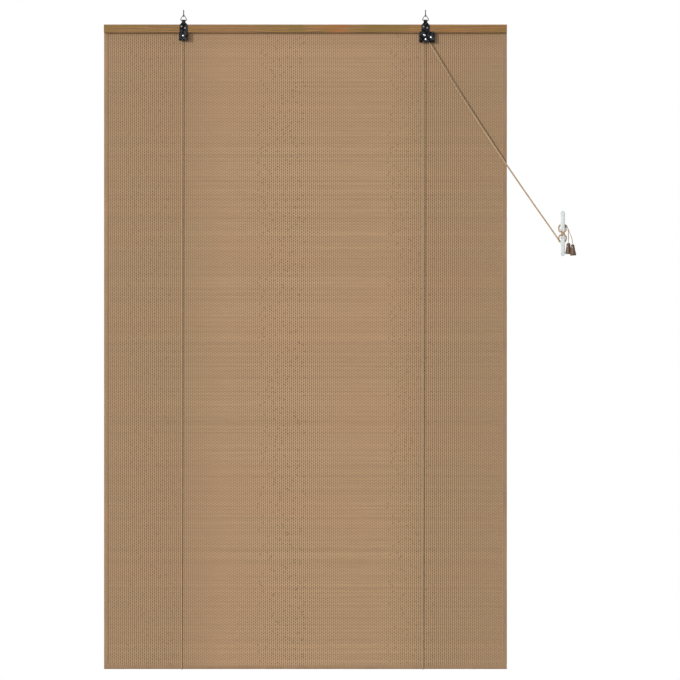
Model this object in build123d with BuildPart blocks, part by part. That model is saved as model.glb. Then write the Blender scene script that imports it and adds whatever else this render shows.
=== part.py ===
from build123d import *

import os
from math import acos, asin, atan2, cos, degrees, pi, radians, sin, tan

# Roll-up blind of woven bamboo, hung by two rings from two ceiling hooks.
# X runs to the right along the headrail, +Y towards the wall, +Z up.
# The origin is at the ceiling, half way between the two hooks.

os.makedirs("parts", exist_ok=True)

# Overall sizes
BLIND_W = 1000.0
BLIND_H = 1600.0
BLIND_X = 2.0
STATION = 300.0
HEAD_TOP = -30.0
WALL_Y = 27.0

# Hooks and rings
HOOK_R = 1.3
HOOK_LOOP = 4.0
HOOK_BACK = 2.0
HOOK_SHANK_END = -0.5
HOOK_TIP = 1.5
HOOK_TURN = 175.0
THREAD_LEN = 5.2
THREAD_TIP = 1.4
RING_R = 1.0
RING_APEX_Z = -5.15
RING_APEX_BEND = 3.0
RING_CORNER_X = 9.29
RING_CORNER_BEND = 2.2
HINGE_Z = -20.0

# Sheet metal of the plates and housings
SHEET = 1.0
KNUCKLE_R = 1.05
NECK_W = 9.5
NECK_END_Z = -24.8
SHOULDER_Z = -31.0
PLATE_W = 20.5
PLATE_LEFT_END_Z = -69.8
PLATE_RIGHT_END_Z = -73.2
HOUSING_DEPTH = 10.5
HOUSING_TOP_Z = -47.6
LEFT_HOUSING = (-11.5, 10.0, -69.8)
RIGHT_HOUSING = (-16.0, 22.0, -74.0)
BEAD_R = 2.0
CORD_NOTCH_R = 1.9

# Headrail
SLAT_H = 20.0
FRONT_SLAT_T = 12.0
BACK_SLAT_T = 6.0
SLAT_FRONT = -KNUCKLE_R
SLAT_BACK = SLAT_FRONT + FRONT_SLAT_T
SLAT_BOTTOM = HEAD_TOP - SLAT_H
SLAT_EDGE = 0.8
GROOVE_DEPTH = 7.0
GROOVE_W = 5.0

# Mat, side tapes and the rolling end
MAT_T = 2.0
TAPE_W = 10.0
TAPE_T = 0.4
TAPE_TOP = SLAT_BOTTOM - 0.2
ROD_R = 4.0
HEM_R = ROD_R + MAT_T
ROLL_Y = SLAT_BACK + HEM_R
ROLL_Z = HEAD_TOP - BLIND_H + HEM_R
ROD_END_GAP = 2.0

# Cords
CORD_D = 1.9
CORD_R = CORD_D / 2
CORD_GAP = 0.05
CORD_LEFT_Y = 5.2
CORD_RIGHT_Y = 3.2
CORD_TOP_Z = -80.0
LOCK_EXIT_X = 312.47
CROSS_Z = HEAD_TOP - 17.5
LOOP_R = HEM_R + CORD_R + CORD_GAP
BACK_CORD_Y = SLAT_BACK + MAT_T + BACK_SLAT_T + CORD_R + 0.03
BACK_CORD_TOP = -38.0

# Pulley, rollers and cam: x from their station, z, groove radius
PULLEY = (-1.4, -57.8)
PULLEY_GROOVE = 2.5
GUIDE = (-2.2, -56.8)
GUIDE_GROOVE = 3.0
LOCK_ROLLER = (0.0, -66.7)
LOCK_ROLLER_R = 3.4
CORD_LEFT_X = -STATION + PULLEY[0] - PULLEY_GROOVE - CORD_R - CORD_GAP
CORD_RIGHT_X = STATION + GUIDE[0] - GUIDE_GROOVE - CORD_R - CORD_GAP
CAM = (13.4, -61.8)
CAM_HUB_R = 3.2
CAM_TIP_R = 8.85
CAM_ROOT_R = 8.3
CAM_TEETH = 7
CAM_FROM = 184.0
CAM_SWEEP = 28.0
CAM_TAIL = 3.3
CAM_TAIL_R = 4.0
AXLE_R = 1.5
RUN_FIT = 0.05

# Nails, rivets and staples
NAIL_R = 0.8
NAIL_HEAD_R = 2.25
NAIL_HEAD_T = 0.8
NAIL_LEN = 9.0
LEFT_NAILS = ((-5.3, -34.7), (3.8, -38.7))
RIGHT_NAILS = ((-5.2, -35.2), (4.5, -38.4))
SLAT_NAILS = (-470.0, -235.0, 0.0, 235.0, 470.0)
SLAT_NAIL_Z = -36.5
SLAT_NAIL_IN = 8.0
RIVET_HEAD_R = 2.4
RIVET_HEAD_T = 0.9
STAPLE_R = 0.6
STAPLE_Z = -43.0
STAPLE_LEG = 5.0

# Cleat, with its middle as the place it is given by
CLEAT_X = 640.3
CLEAT_Z = -548.4
CLEAT_LEN = 112.0
CLEAT_W = 11.0
CLEAT_BAR = (-1.0, 6.5)
CLEAT_FOOT = 21.0
CLEAT_WAIST = 16.5
CLEAT_EDGE = 2.0
CLEAT_SCREWS = 13.0
SCREW_R = 2.0
SCREW_NECK_R = 1.7
SCREW_HOLE_R = 2.1
SCREW_HEAD_R = 3.9
SCREW_IN_WALL = 20.0
RECESS_LEN = 4.2
RECESS_W = 0.9
RECESS_DEPTH = 1.1
WINDING_Y = (-5.5, 10.5)

# Tassels: place of the top, lean in degrees
TASSEL_LEFT = (654.6, 6.0, -572.0)
TASSEL_RIGHT = (664.4, -6.0, -575.8)
TASSEL_LEAN = 3.5
TASSEL_H = 27.5
TASSEL_TOP_R = 4.6
TASSEL_RIM_R = 7.85
TASSEL_HOLE_R = 1.0
KNOT_R = 2.3
KNOT_DROP = 16.5


def facing(x, y, z=0.0):
    """A plane that faces the room, with its own x to the right and its own y up."""
    return Plane(origin=(x, y, z), x_dir=(1, 0, 0), z_dir=(0, -1, 0))


def side_on(x):
    """A plane across the headrail: its own x runs towards the wall, its own y up."""
    return Plane(origin=(x, 0, 0), x_dir=(0, 1, 0), z_dir=(1, 0, 0))


def bend_radii(name, points, given):
    """Each corner's arc: as given where the cord is tight round a piece, else as large as its runs allow."""
    radii = []
    for i in range(1, len(points) - 1):
        before = Vector(points[i]) - Vector(points[i - 1])
        after = Vector(points[i + 1]) - Vector(points[i])
        turn = before.get_angle(after)
        radius = 0.45 * min(before.length, after.length) / tan(radians(turn / 2))
        radii.append(given.get(i, radius))
    print(name, "radii", [round(r, 1) for r in radii])
    return radii


def cord_tube(name, points, given=None):
    """A round cord along straight runs joined by tangent arcs."""
    with BuildPart() as tube:
        with BuildLine() as route:
            if len(points) > 2:
                FilletPolyline(*points, radius=bend_radii(name, points, given or {}))
            else:
                Line(*points)
        path = route.wires()[0]
        with BuildSketch(Plane(origin=path @ 0, z_dir=path % 0)):
            Circle(CORD_R)
        sweep(path=path)
    share = tube.part.volume / (pi * CORD_R**2 * path.length)
    print(name, "length", round(path.length, 1), "volume share", round(share, 4))
    return tube


def corner_between(centre, radius, angle_in, angle_out):
    """Where two tangents of a circle meet, for a cord that comes at one angle and leaves at another."""
    half = radians((angle_in - angle_out) / 2)
    middle = radians((angle_in + angle_out) / 2 + 90)
    reach = radius / cos(half)
    return centre[0] + reach * cos(middle), centre[1] + reach * sin(middle)


def tangent_angle(first, first_r, second, second_r):
    """Angle of the line that lies on the upper or outer side of both circles."""
    reach = ((second[0] - first[0]) ** 2 + (second[1] - first[1]) ** 2) ** 0.5
    along = atan2(second[1] - first[1], second[0] - first[0])
    return degrees(along + asin((second_r - first_r) / reach))


# Screw hooks: the shank bends back, then round under itself
bend = degrees(acos(HOOK_BACK / (HOOK_BACK + HOOK_LOOP)))
for side, x in (("left", -STATION), ("right", STATION)):
    with BuildPart() as hook:
        with BuildLine(side_on(x)) as hook_line:
            shank = Line((0, THREAD_LEN), (0, HOOK_SHANK_END))
            back = JernArc(shank @ 1, shank % 1, HOOK_BACK, bend)
            loop = JernArc(back @ 1, back % 1, HOOK_LOOP, -(bend + HOOK_TURN))
            Line(loop @ 1, loop @ 1 + (loop % 1) * HOOK_TIP)
        with BuildSketch(Plane(origin=(x, 0, THREAD_LEN), z_dir=(0, 0, -1))):
            Circle(HOOK_R)
        sweep()
        tip_face = hook.faces().filter_by(GeomType.PLANE).sort_by(Axis.Y)[0]
        fillet(tip_face.edges(), HOOK_R * 0.6)
        with Locations((x, 0, THREAD_LEN)):
            Cone(HOOK_R, 0.2, THREAD_TIP, align=(Align.CENTER, Align.CENTER, Align.MIN))
    hook.part.label = f"hook_{side}"
    export_step(hook.part, f"parts/hook_{side}.step")

# Wire rings: a triangle with its apex in the hook and its base in the rolled neck
for side, x in (("left", -STATION), ("right", STATION)):
    with BuildPart() as ring:
        with BuildLine(facing(x, 0)) as ring_line:
            FilletPolyline(
                (0, RING_APEX_Z),
                (-RING_CORNER_X, HINGE_Z),
                (RING_CORNER_X, HINGE_Z),
                radius=[RING_APEX_BEND, RING_CORNER_BEND, RING_CORNER_BEND],
                close=True,
            )
        around = ring_line.wires()[0]
        with BuildSketch(Plane(origin=around @ 0, z_dir=around % 0)):
            Circle(RING_R)
        sweep(path=around)
    ring.part.label = f"ring_{side}"
    export_step(ring.part, f"parts/ring_{side}.step")

# Hanger plates: bottle outline, with the neck rolled round the ring's base
plates = (
    ("left", -STATION, PLATE_LEFT_END_Z, 2.0, LEFT_NAILS, (PULLEY,), CORD_LEFT_X),
    ("right", STATION, PLATE_RIGHT_END_Z, 6.5, RIGHT_NAILS, (GUIDE, LOCK_ROLLER), CORD_RIGHT_X),
)
for side, x, end_z, end_round, nails, axles, cord_x in plates:
    with BuildPart() as plate:
        with BuildSketch(facing(x, SLAT_FRONT)):
            with BuildLine():
                Polyline(
                    (-NECK_W / 2, HINGE_Z),
                    (-NECK_W / 2, NECK_END_Z),
                    (-PLATE_W / 2, SHOULDER_Z),
                    (-PLATE_W / 2, end_z),
                    (PLATE_W / 2, end_z),
                    (PLATE_W / 2, SHOULDER_Z),
                    (NECK_W / 2, NECK_END_Z),
                    (NECK_W / 2, HINGE_Z),
                    close=True,
                )
            outline = make_face()
            corners = outline.vertices()
            fillet(corners.filter_by_position(Axis.Z, NECK_END_Z - 0.1, NECK_END_Z + 0.1), 2.5)
            fillet(corners.filter_by_position(Axis.Z, SHOULDER_Z - 0.1, SHOULDER_Z + 0.1), 4.0)
            fillet(corners.filter_by_position(Axis.Z, end_z - 0.1, end_z + 0.1), end_round)
            with Locations(*nails):
                Circle(NAIL_R, mode=Mode.SUBTRACT)
            with Locations(*axles):
                Circle(AXLE_R, mode=Mode.SUBTRACT)
            with Locations((cord_x - x, end_z)):
                Circle(CORD_NOTCH_R, mode=Mode.SUBTRACT)
        extrude(amount=SHEET)
        with BuildSketch(side_on(x - NECK_W / 2)):
            with Locations((0, HINGE_Z)):
                Circle(KNUCKLE_R + SHEET)
            with BuildLine():
                Polyline(
                    (-KNUCKLE_R, HINGE_Z),
                    (-KNUCKLE_R - SHEET, HINGE_Z),
                    (-KNUCKLE_R - SHEET, HINGE_Z - KNUCKLE_R - SHEET),
                    (0, HINGE_Z - KNUCKLE_R - SHEET),
                    (0, HINGE_Z),
                    close=True,
                )
            make_face(mode=Mode.SUBTRACT)
            with Locations((0, HINGE_Z)):
                Circle(KNUCKLE_R, mode=Mode.SUBTRACT)
        extrude(amount=NECK_W)
    plate.part.label = f"hanger_plate_{side}"
    export_step(plate.part, f"parts/hanger_plate_{side}.step")

# Pulley housings: folded boxes, open above and below, with one top edge rolled for the cord
bead_z = CROSS_Z - BEAD_R - CORD_R - CORD_GAP
guide_bead = (RIGHT_HOUSING[0] + BEAD_R, bead_z)
pulley_bead = (LEFT_HOUSING[1] - BEAD_R, bead_z)
housings = (
    ("pulley_housing_left", -STATION, LEFT_HOUSING, pulley_bead, (PULLEY,), (-4.9,)),
    ("lock_housing_right", STATION, RIGHT_HOUSING, guide_bead, (GUIDE, LOCK_ROLLER, CAM), (-6.2,)),
)
for name, x, (low_x, high_x, end_z), bead, axles, notches in housings:
    width = high_x - low_x
    middle = (low_x + high_x) / 2
    with BuildPart() as housing:
        with BuildSketch(Plane.XY.offset(end_z)):
            with Locations((x + middle, SLAT_FRONT + HOUSING_DEPTH / 2)):
                RectangleRounded(width, HOUSING_DEPTH, 1.4)
                RectangleRounded(width - 2 * SHEET, HOUSING_DEPTH - 2 * SHEET, 0.4, mode=Mode.SUBTRACT)
        extrude(amount=SLAT_BOTTOM - end_z)
        with BuildSketch(facing(x, SLAT_FRONT + SHEET)):
            with Locations((middle, (HOUSING_TOP_Z + SLAT_BOTTOM) / 2)):
                Rectangle(width - 2.8, HOUSING_TOP_Z - SLAT_BOTTOM)
        extrude(amount=SHEET)
        with BuildSketch(facing(x, CORD_LEFT_Y - GROOVE_W / 2 + 0.1)):
            with Locations(bead):
                Circle(BEAD_R)
        extrude(amount=0.2 - GROOVE_W)
        with BuildSketch(facing(x, 0)):
            with Locations(bead):
                Circle(BEAD_R - SHEET)
        extrude(amount=-8.0, mode=Mode.SUBTRACT)
        with BuildSketch(facing(x, SLAT_FRONT + HOUSING_DEPTH)):
            with Locations(*axles):
                Circle(AXLE_R)
        extrude(amount=HOUSING_DEPTH, mode=Mode.SUBTRACT)
        with BuildSketch(facing(x, SLAT_FRONT + SHEET)):
            for notch in notches:
                with Locations((notch, end_z)):
                    Circle(CORD_NOTCH_R)
        extrude(amount=SHEET, mode=Mode.SUBTRACT)
    housing.part.label = name
    export_step(housing.part, f"parts/{name}.step")

# Grooved pulley and rollers, each turned about its axle: half profile as depth and radius
wheels = (
    ("pulley_left", -STATION + PULLEY[0], PULLEY[1],
     ((2.7, 5.2), (3.5, 5.2), (4.1, PULLEY_GROOVE), (6.3, PULLEY_GROOVE), (6.9, 5.2), (7.7, 5.2))),
    ("guide_roller", STATION + GUIDE[0], GUIDE[1],
     ((0.7, 4.7), (1.4, 4.7), (2.0, GUIDE_GROOVE), (6.4, GUIDE_GROOVE), (7.0, 4.7), (7.7, 4.7))),
    ("lock_roller", STATION + LOCK_ROLLER[0], LOCK_ROLLER[1],
     ((0.7, LOCK_ROLLER_R - 0.4), (1.1, LOCK_ROLLER_R), (7.3, LOCK_ROLLER_R), (7.7, LOCK_ROLLER_R - 0.4))),
)
for name, x, z, rim in wheels:
    bore = AXLE_R + RUN_FIT
    with BuildPart() as wheel:
        with BuildSketch(Plane(origin=(x, 0, z), x_dir=(0, 1, 0), z_dir=(1, 0, 0))):
            with BuildLine():
                Polyline((rim[0][0], bore), *rim, (rim[-1][0], bore), close=True)
            make_face()
        revolve(axis=Axis((x, 0, z), (0, 1, 0)))
    wheel.part.label = name
    export_step(wheel.part, f"parts/{name}.step")

# Lock cam: a hub, a toothed nose that bites the cords and a heavier tail that keeps it there
cam_x = STATION + CAM[0]
teeth = []
for tooth in range(CAM_TEETH):
    root = radians(CAM_FROM + CAM_SWEEP * tooth / CAM_TEETH)
    tip = radians(CAM_FROM + CAM_SWEEP * (tooth + 0.25) / CAM_TEETH)
    teeth.append((CAM_ROOT_R * cos(root), CAM_ROOT_R * sin(root)))
    teeth.append((CAM_TIP_R * cos(tip), CAM_TIP_R * sin(tip)))
last = radians(CAM_FROM + CAM_SWEEP)
teeth.append((CAM_ROOT_R * cos(last), CAM_ROOT_R * sin(last)))
with BuildPart() as cam:
    with BuildSketch(facing(cam_x, 2.0, CAM[1])):
        with BuildLine():
            Polyline((0, 2.0), *teeth, (1.2, -2.6), close=True)
        make_face()
        Circle(CAM_HUB_R)
    extrude(amount=-4.4)
    with BuildSketch(facing(cam_x, 0.7, CAM[1])):
        Circle(CAM_HUB_R)
        with Locations((CAM_TAIL, -0.4)):
            Circle(CAM_TAIL_R)
    extrude(amount=-7.0)
    with BuildSketch(facing(cam_x, 0.0, CAM[1])):
        Circle(AXLE_R + RUN_FIT)
    extrude(amount=-9.0, mode=Mode.SUBTRACT)
cam.part.label = "lock_cam"
export_step(cam.part, "parts/lock_cam.step")

# Rivets that the wheels and the cam turn on, with a domed head in front and a flat one behind
rivets = (
    ("rivet_pulley_left", -STATION + PULLEY[0], PULLEY[1], SLAT_FRONT - SHEET),
    ("rivet_guide", STATION + GUIDE[0], GUIDE[1], SLAT_FRONT - SHEET),
    ("rivet_lock_roller", STATION + LOCK_ROLLER[0], LOCK_ROLLER[1], SLAT_FRONT - SHEET),
    ("rivet_cam", STATION + CAM[0], CAM[1], SLAT_FRONT),
)
dome = (RIVET_HEAD_R**2 + RIVET_HEAD_T**2) / (2 * RIVET_HEAD_T)
dome_half = asin(RIVET_HEAD_R / dome) / 2
for name, x, z, front in rivets:
    rear = SLAT_FRONT + HOUSING_DEPTH
    crown = front - RIVET_HEAD_T
    with BuildPart() as rivet:
        with BuildSketch(Plane(origin=(x, 0, z), x_dir=(0, 1, 0), z_dir=(1, 0, 0))):
            with BuildLine():
                Line((crown, 0), (rear + 0.6, 0))
                Line((rear + 0.6, 0), (rear + 0.6, RIVET_HEAD_R))
                Line((rear + 0.6, RIVET_HEAD_R), (rear, RIVET_HEAD_R))
                Line((rear, RIVET_HEAD_R), (rear, AXLE_R))
                Line((rear, AXLE_R), (front, AXLE_R))
                Line((front, AXLE_R), (front, RIVET_HEAD_R))
                ThreePointArc(
                    (front, RIVET_HEAD_R),
                    (crown + dome * (1 - cos(dome_half)), dome * sin(dome_half)),
                    (crown, 0),
                )
            make_face()
        revolve(axis=Axis((x, 0, z), (0, 1, 0)))
    rivet.part.label = name
    export_step(rivet.part, f"parts/{name}.step")

# Round-headed nails through the plates into the front slat
with BuildPart() as plate_nails:
    for x, places in ((-STATION, LEFT_NAILS), (STATION, RIGHT_NAILS)):
        with BuildSketch(facing(x, SLAT_FRONT + NAIL_LEN)):
            with Locations(*places):
                Circle(NAIL_R)
        extrude(amount=NAIL_LEN + SHEET)
        with BuildSketch(facing(x, SLAT_FRONT - SHEET)):
            with Locations(*places):
                Circle(NAIL_HEAD_R)
        extrude(amount=NAIL_HEAD_T)
    head_rims = plate_nails.edges().filter_by(GeomType.CIRCLE).group_by(Axis.Y)[0]
    fillet(head_rims, NAIL_HEAD_T * 0.7)
plate_nails.part.label = "plate_nails"
export_step(plate_nails.part, "parts/plate_nails.step")

# Front slat, with its hidden cord groove below and a recess for each housing's upper edge
with BuildPart() as front_slat:
    with BuildSketch(side_on(BLIND_X - BLIND_W / 2)):
        with Locations((SLAT_FRONT + FRONT_SLAT_T / 2, HEAD_TOP - SLAT_H / 2)):
            Rectangle(FRONT_SLAT_T, SLAT_H)
    extrude(amount=BLIND_W)
    front_edges = front_slat.edges().filter_by(Axis.X).group_by(Axis.Y)[0]
    fillet(front_edges, SLAT_EDGE)
    with BuildSketch(Plane.XY.offset(SLAT_BOTTOM)):
        with Locations((-2.0, CORD_LEFT_Y)):
            Rectangle(2 * STATION + 14.0, GROOVE_W)
    extrude(amount=GROOVE_DEPTH, mode=Mode.SUBTRACT)
    for x, (low_x, high_x, end_z) in ((-STATION, LEFT_HOUSING), (STATION, RIGHT_HOUSING)):
        with BuildSketch(facing(x, SLAT_FRONT + SHEET)):
            with Locations(((low_x + high_x) / 2, (HOUSING_TOP_Z + SLAT_BOTTOM) / 2)):
                Rectangle(high_x - low_x - 2.6, HOUSING_TOP_Z - SLAT_BOTTOM + 0.1)
        extrude(amount=2 * SHEET, mode=Mode.SUBTRACT)
    for x, places in ((-STATION, LEFT_NAILS), (STATION, RIGHT_NAILS)):
        with BuildSketch(facing(x, SLAT_FRONT + NAIL_LEN)):
            with Locations(*places):
                Circle(NAIL_R)
        extrude(amount=NAIL_LEN + 1, mode=Mode.SUBTRACT)
    with BuildSketch(facing(BLIND_X, SLAT_BACK)):
        with Locations(*[(x, SLAT_NAIL_Z) for x in SLAT_NAILS]):
            Circle(NAIL_R)
    extrude(amount=SLAT_NAIL_IN, mode=Mode.SUBTRACT)
front_slat.part.label = "front_slat"
export_step(front_slat.part, "parts/front_slat.step")

# Back slat, nailed through the mat
back_slat_front = SLAT_BACK + MAT_T
back_slat_back = back_slat_front + BACK_SLAT_T
staple_reach = CORD_R + STAPLE_R + 0.1
with BuildPart() as back_slat:
    with BuildSketch(side_on(BLIND_X - BLIND_W / 2)):
        with Locations((back_slat_front + BACK_SLAT_T / 2, HEAD_TOP - SLAT_H / 2)):
            Rectangle(BACK_SLAT_T, SLAT_H)
    extrude(amount=BLIND_W)
    back_edges = back_slat.edges().filter_by(Axis.X).group_by(Axis.Y)[-1]
    fillet(back_edges, SLAT_EDGE)
    with BuildSketch(facing(BLIND_X, back_slat_back)):
        with Locations(*[(x, SLAT_NAIL_Z) for x in SLAT_NAILS]):
            Circle(NAIL_R)
    extrude(amount=BACK_SLAT_T, mode=Mode.SUBTRACT)
    with BuildSketch(facing(0, back_slat_back)):
        for x in (CORD_LEFT_X, CORD_RIGHT_X):
            with Locations((x - staple_reach, STAPLE_Z), (x + staple_reach, STAPLE_Z)):
                Circle(STAPLE_R)
    extrude(amount=STAPLE_LEG, mode=Mode.SUBTRACT)
back_slat.part.label = "back_slat"
export_step(back_slat.part, "parts/back_slat.step")

# Nails that hold the two slats together, heads at the back
with BuildPart() as slat_nails:
    with BuildSketch(facing(BLIND_X, back_slat_back)):
        with Locations(*[(x, SLAT_NAIL_Z) for x in SLAT_NAILS]):
            Circle(NAIL_R)
    extrude(amount=BACK_SLAT_T + MAT_T + SLAT_NAIL_IN)
    with BuildSketch(facing(BLIND_X, back_slat_back + NAIL_HEAD_T)):
        with Locations(*[(x, SLAT_NAIL_Z) for x in SLAT_NAILS]):
            Circle(NAIL_HEAD_R)
    extrude(amount=NAIL_HEAD_T)
slat_nails.part.label = "slat_nails"
export_step(slat_nails.part, "parts/slat_nails.step")

# Staples over the fixed ends of the lift cords
with BuildPart() as cord_staples:
    crown_y = BACK_CORD_Y + CORD_R + STAPLE_R + 0.05
    for x in (CORD_LEFT_X, CORD_RIGHT_X):
        with BuildLine() as staple_line:
            FilletPolyline(
                (x - staple_reach, back_slat_back - STAPLE_LEG, STAPLE_Z),
                (x - staple_reach, crown_y, STAPLE_Z),
                (x + staple_reach, crown_y, STAPLE_Z),
                (x + staple_reach, back_slat_back - STAPLE_LEG, STAPLE_Z),
                radius=0.9,
            )
        staple_path = staple_line.wires()[0]
        with BuildSketch(Plane(origin=staple_path @ 0, z_dir=staple_path % 0)):
            Circle(STAPLE_R)
        sweep(path=staple_path)
cord_staples.part.label = "cord_staples"
export_step(cord_staples.part, "parts/cord_staples.step")

# Woven mat, pinched between the slats and cut to sit on the hem
with BuildPart() as mat:
    with BuildSketch(side_on(BLIND_X - BLIND_W / 2 + TAPE_T)):
        mat_end = ROLL_Z + HEM_R * 0.35
        with Locations((SLAT_BACK + MAT_T / 2, (HEAD_TOP + mat_end) / 2)):
            Rectangle(MAT_T, HEAD_TOP - mat_end)
        with Locations((ROLL_Y, ROLL_Z)):
            Circle(HEM_R + CORD_GAP, mode=Mode.SUBTRACT)
    extrude(amount=BLIND_W - 2 * TAPE_T)
    with BuildSketch(facing(BLIND_X, back_slat_front)):
        with Locations(*[(x, SLAT_NAIL_Z) for x in SLAT_NAILS]):
            Circle(NAIL_R)
    extrude(amount=MAT_T, mode=Mode.SUBTRACT)
mat.part.label = "woven_mat"
export_step(mat.part, "parts/woven_mat.step")

# Side tapes folded over the mat's edges
for side, sign in (("left", -1), ("right", 1)):
    edge_x = BLIND_X + sign * BLIND_W / 2
    tape_end = ROLL_Z + HEM_R + 1.0
    with BuildPart() as tape:
        with BuildSketch(Plane.XY.offset(tape_end)):
            with Locations((edge_x - sign * TAPE_W / 2, SLAT_BACK + MAT_T / 2)):
                Rectangle(TAPE_W, MAT_T + 2 * TAPE_T)
            with Locations((edge_x - sign * (TAPE_T + TAPE_W / 2), SLAT_BACK + MAT_T / 2)):
                Rectangle(TAPE_W, MAT_T, mode=Mode.SUBTRACT)
        extrude(amount=TAPE_TOP - tape_end)
    tape.part.label = f"edge_tape_{side}"
    export_step(tape.part, f"parts/edge_tape_{side}.step")

# Bottom dowel and the end of the mat wrapped round it
with BuildPart() as bottom_rod:
    with BuildSketch(side_on(BLIND_X - BLIND_W / 2 + ROD_END_GAP)):
        with Locations((ROLL_Y, ROLL_Z)):
            Circle(ROD_R)
    extrude(amount=BLIND_W - 2 * ROD_END_GAP)
    chamfer(bottom_rod.edges().filter_by(GeomType.CIRCLE), 0.6)
bottom_rod.part.label = "bottom_rod"
export_step(bottom_rod.part, "parts/bottom_rod.step")

with BuildPart() as bottom_hem:
    with BuildSketch(side_on(BLIND_X - BLIND_W / 2)):
        with Locations((ROLL_Y, ROLL_Z)):
            Circle(HEM_R)
            Circle(ROD_R, mode=Mode.SUBTRACT)
    extrude(amount=BLIND_W)
bottom_hem.part.label = "bottom_hem"
export_step(bottom_hem.part, "parts/bottom_hem.step")

# Lift cords: behind the mat, under the roll and up the front to the pulley
runs = (("left", CORD_LEFT_X, CORD_LEFT_Y), ("right", CORD_RIGHT_X, CORD_RIGHT_Y))
for side, x, top_y in runs:
    back_top = (x, BACK_CORD_Y, BACK_CORD_TOP)
    back_low = (x, ROLL_Y + LOOP_R, ROLL_Z)
    front_low = (x, ROLL_Y - LOOP_R, ROLL_Z)
    front_top = (x, top_y, CORD_TOP_Z)
    back_run = cord_tube(f"cord_{side}_back", [back_top, back_low])
    back_run.part.label = f"cord_{side}_back"
    export_step(back_run.part, f"parts/cord_{side}_back.step")
    front_run = cord_tube(f"cord_{side}_front", [front_low, front_top])
    front_run.part.label = f"cord_{side}_front"
    export_step(front_run.part, f"parts/cord_{side}_front.step")
    with BuildPart() as under:
        with BuildSketch(Plane.XY.offset(ROLL_Z)):
            with Locations((x, ROLL_Y + LOOP_R)):
                Circle(CORD_R)
        revolve(axis=Axis((x, ROLL_Y, ROLL_Z), (1, 0, 0)), revolution_arc=-180)
    under.part.label = f"cord_{side}_loop"
    export_step(under.part, f"parts/cord_{side}_loop.step")

# Left cord over its pulley, through the groove, over the guide roller and past the cam
bead_turn = BEAD_R + CORD_R + CORD_GAP
pulley_turn = PULLEY_GROOVE + CORD_R + CORD_GAP
guide_turn = GUIDE_GROOVE + CORD_R + CORD_GAP
roller_turn = LOCK_ROLLER_R + CORD_R + CORD_GAP
pulley_at = (-STATION + PULLEY[0], PULLEY[1])
guide_at = (STATION + GUIDE[0], GUIDE[1])
roller_at = (STATION + LOCK_ROLLER[0], LOCK_ROLLER[1])
left_bead = (-STATION + pulley_bead[0], pulley_bead[1])
right_bead = (STATION + guide_bead[0], guide_bead[1])
rise = tangent_angle(pulley_at, pulley_turn, left_bead, bead_turn)
fall = tangent_angle(right_bead, bead_turn, guide_at, guide_turn)
drop = tangent_angle(guide_at, guide_turn, roller_at, roller_turn)
nip = (roller_at[0] - roller_turn * sin(radians(drop)), roller_at[1] + roller_turn * cos(radians(drop)))
leave = (nip[0] + cos(radians(drop)), nip[1] + sin(radians(drop)))
print("corner under the lock roller", [round(v, 3) for v in leave])
over_pulley = corner_between(pulley_at, pulley_turn, 90, rise)
over_left_bead = corner_between(left_bead, bead_turn, rise, 0)
over_right_bead = corner_between(right_bead, bead_turn, 0, fall)
over_guide = corner_between(guide_at, guide_turn, fall, drop)
left_top = cord_tube(
    "cord_left_top",
    [
        (CORD_LEFT_X, CORD_LEFT_Y, CORD_TOP_Z),
        (over_pulley[0], CORD_LEFT_Y, over_pulley[1]),
        (over_left_bead[0], CORD_LEFT_Y, over_left_bead[1]),
        (over_right_bead[0], CORD_LEFT_Y, over_right_bead[1]),
        (over_guide[0], CORD_LEFT_Y, over_guide[1]),
        (leave[0], CORD_LEFT_Y, leave[1]),
        (LOCK_EXIT_X, CORD_LEFT_Y, CORD_TOP_Z),
    ],
    {1: pulley_turn, 2: bead_turn, 3: bead_turn, 4: guide_turn, 5: 5.0},
)
left_top.part.label = "cord_left_top"
export_step(left_top.part, "parts/cord_left_top.step")

# Right cord up over the same guide roller and past the cam
up_guide = corner_between(guide_at, guide_turn, 90, 0)
down_guide = corner_between(guide_at, guide_turn, 0, drop)
right_top = cord_tube(
    "cord_right_top",
    [
        (CORD_RIGHT_X, CORD_RIGHT_Y, CORD_TOP_Z),
        (up_guide[0], CORD_RIGHT_Y, up_guide[1]),
        (down_guide[0], CORD_RIGHT_Y, down_guide[1]),
        (leave[0], CORD_RIGHT_Y, leave[1]),
        (LOCK_EXIT_X, CORD_RIGHT_Y, CORD_TOP_Z),
    ],
    {1: guide_turn, 2: guide_turn, 3: 5.0},
)
right_top.part.label = "cord_right_top"
export_step(right_top.part, "parts/cord_right_top.step")

# The free cords, pulled down to the cleat with a slight sag
left_diagonal = cord_tube(
    "cord_left_diagonal",
    [
        (LOCK_EXIT_X, CORD_LEFT_Y, CORD_TOP_Z),
        (335.383, CORD_LEFT_Y, -118.73),
        (376.6, 5.6, -184.6),
        (433.85, 5.9, -274.5),
        (496.55, 6.5, -369.5),
        (558.35, 7.1, -459.5),
        (600.85, 7.6, -519.5),
        (628.3, 8.2, -558.4),
    ],
)
left_diagonal.part.label = "cord_left_diagonal"
export_step(left_diagonal.part, "parts/cord_left_diagonal.step")
right_diagonal = cord_tube(
    "cord_right_diagonal",
    [
        (LOCK_EXIT_X, CORD_RIGHT_Y, CORD_TOP_Z),
        (335.383, CORD_RIGHT_Y, -118.73),
        (375.2, 3.7, -185.4),
        (432.15, 5.2, -275.5),
        (494.85, 6.0, -370.5),
        (556.65, 6.7, -460.5),
        (599.15, 7.2, -520.5),
        (626.7, 7.8, -559.6),
    ],
)
right_diagonal.part.label = "cord_right_diagonal"
export_step(right_diagonal.part, "parts/cord_right_diagonal.step")

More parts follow.
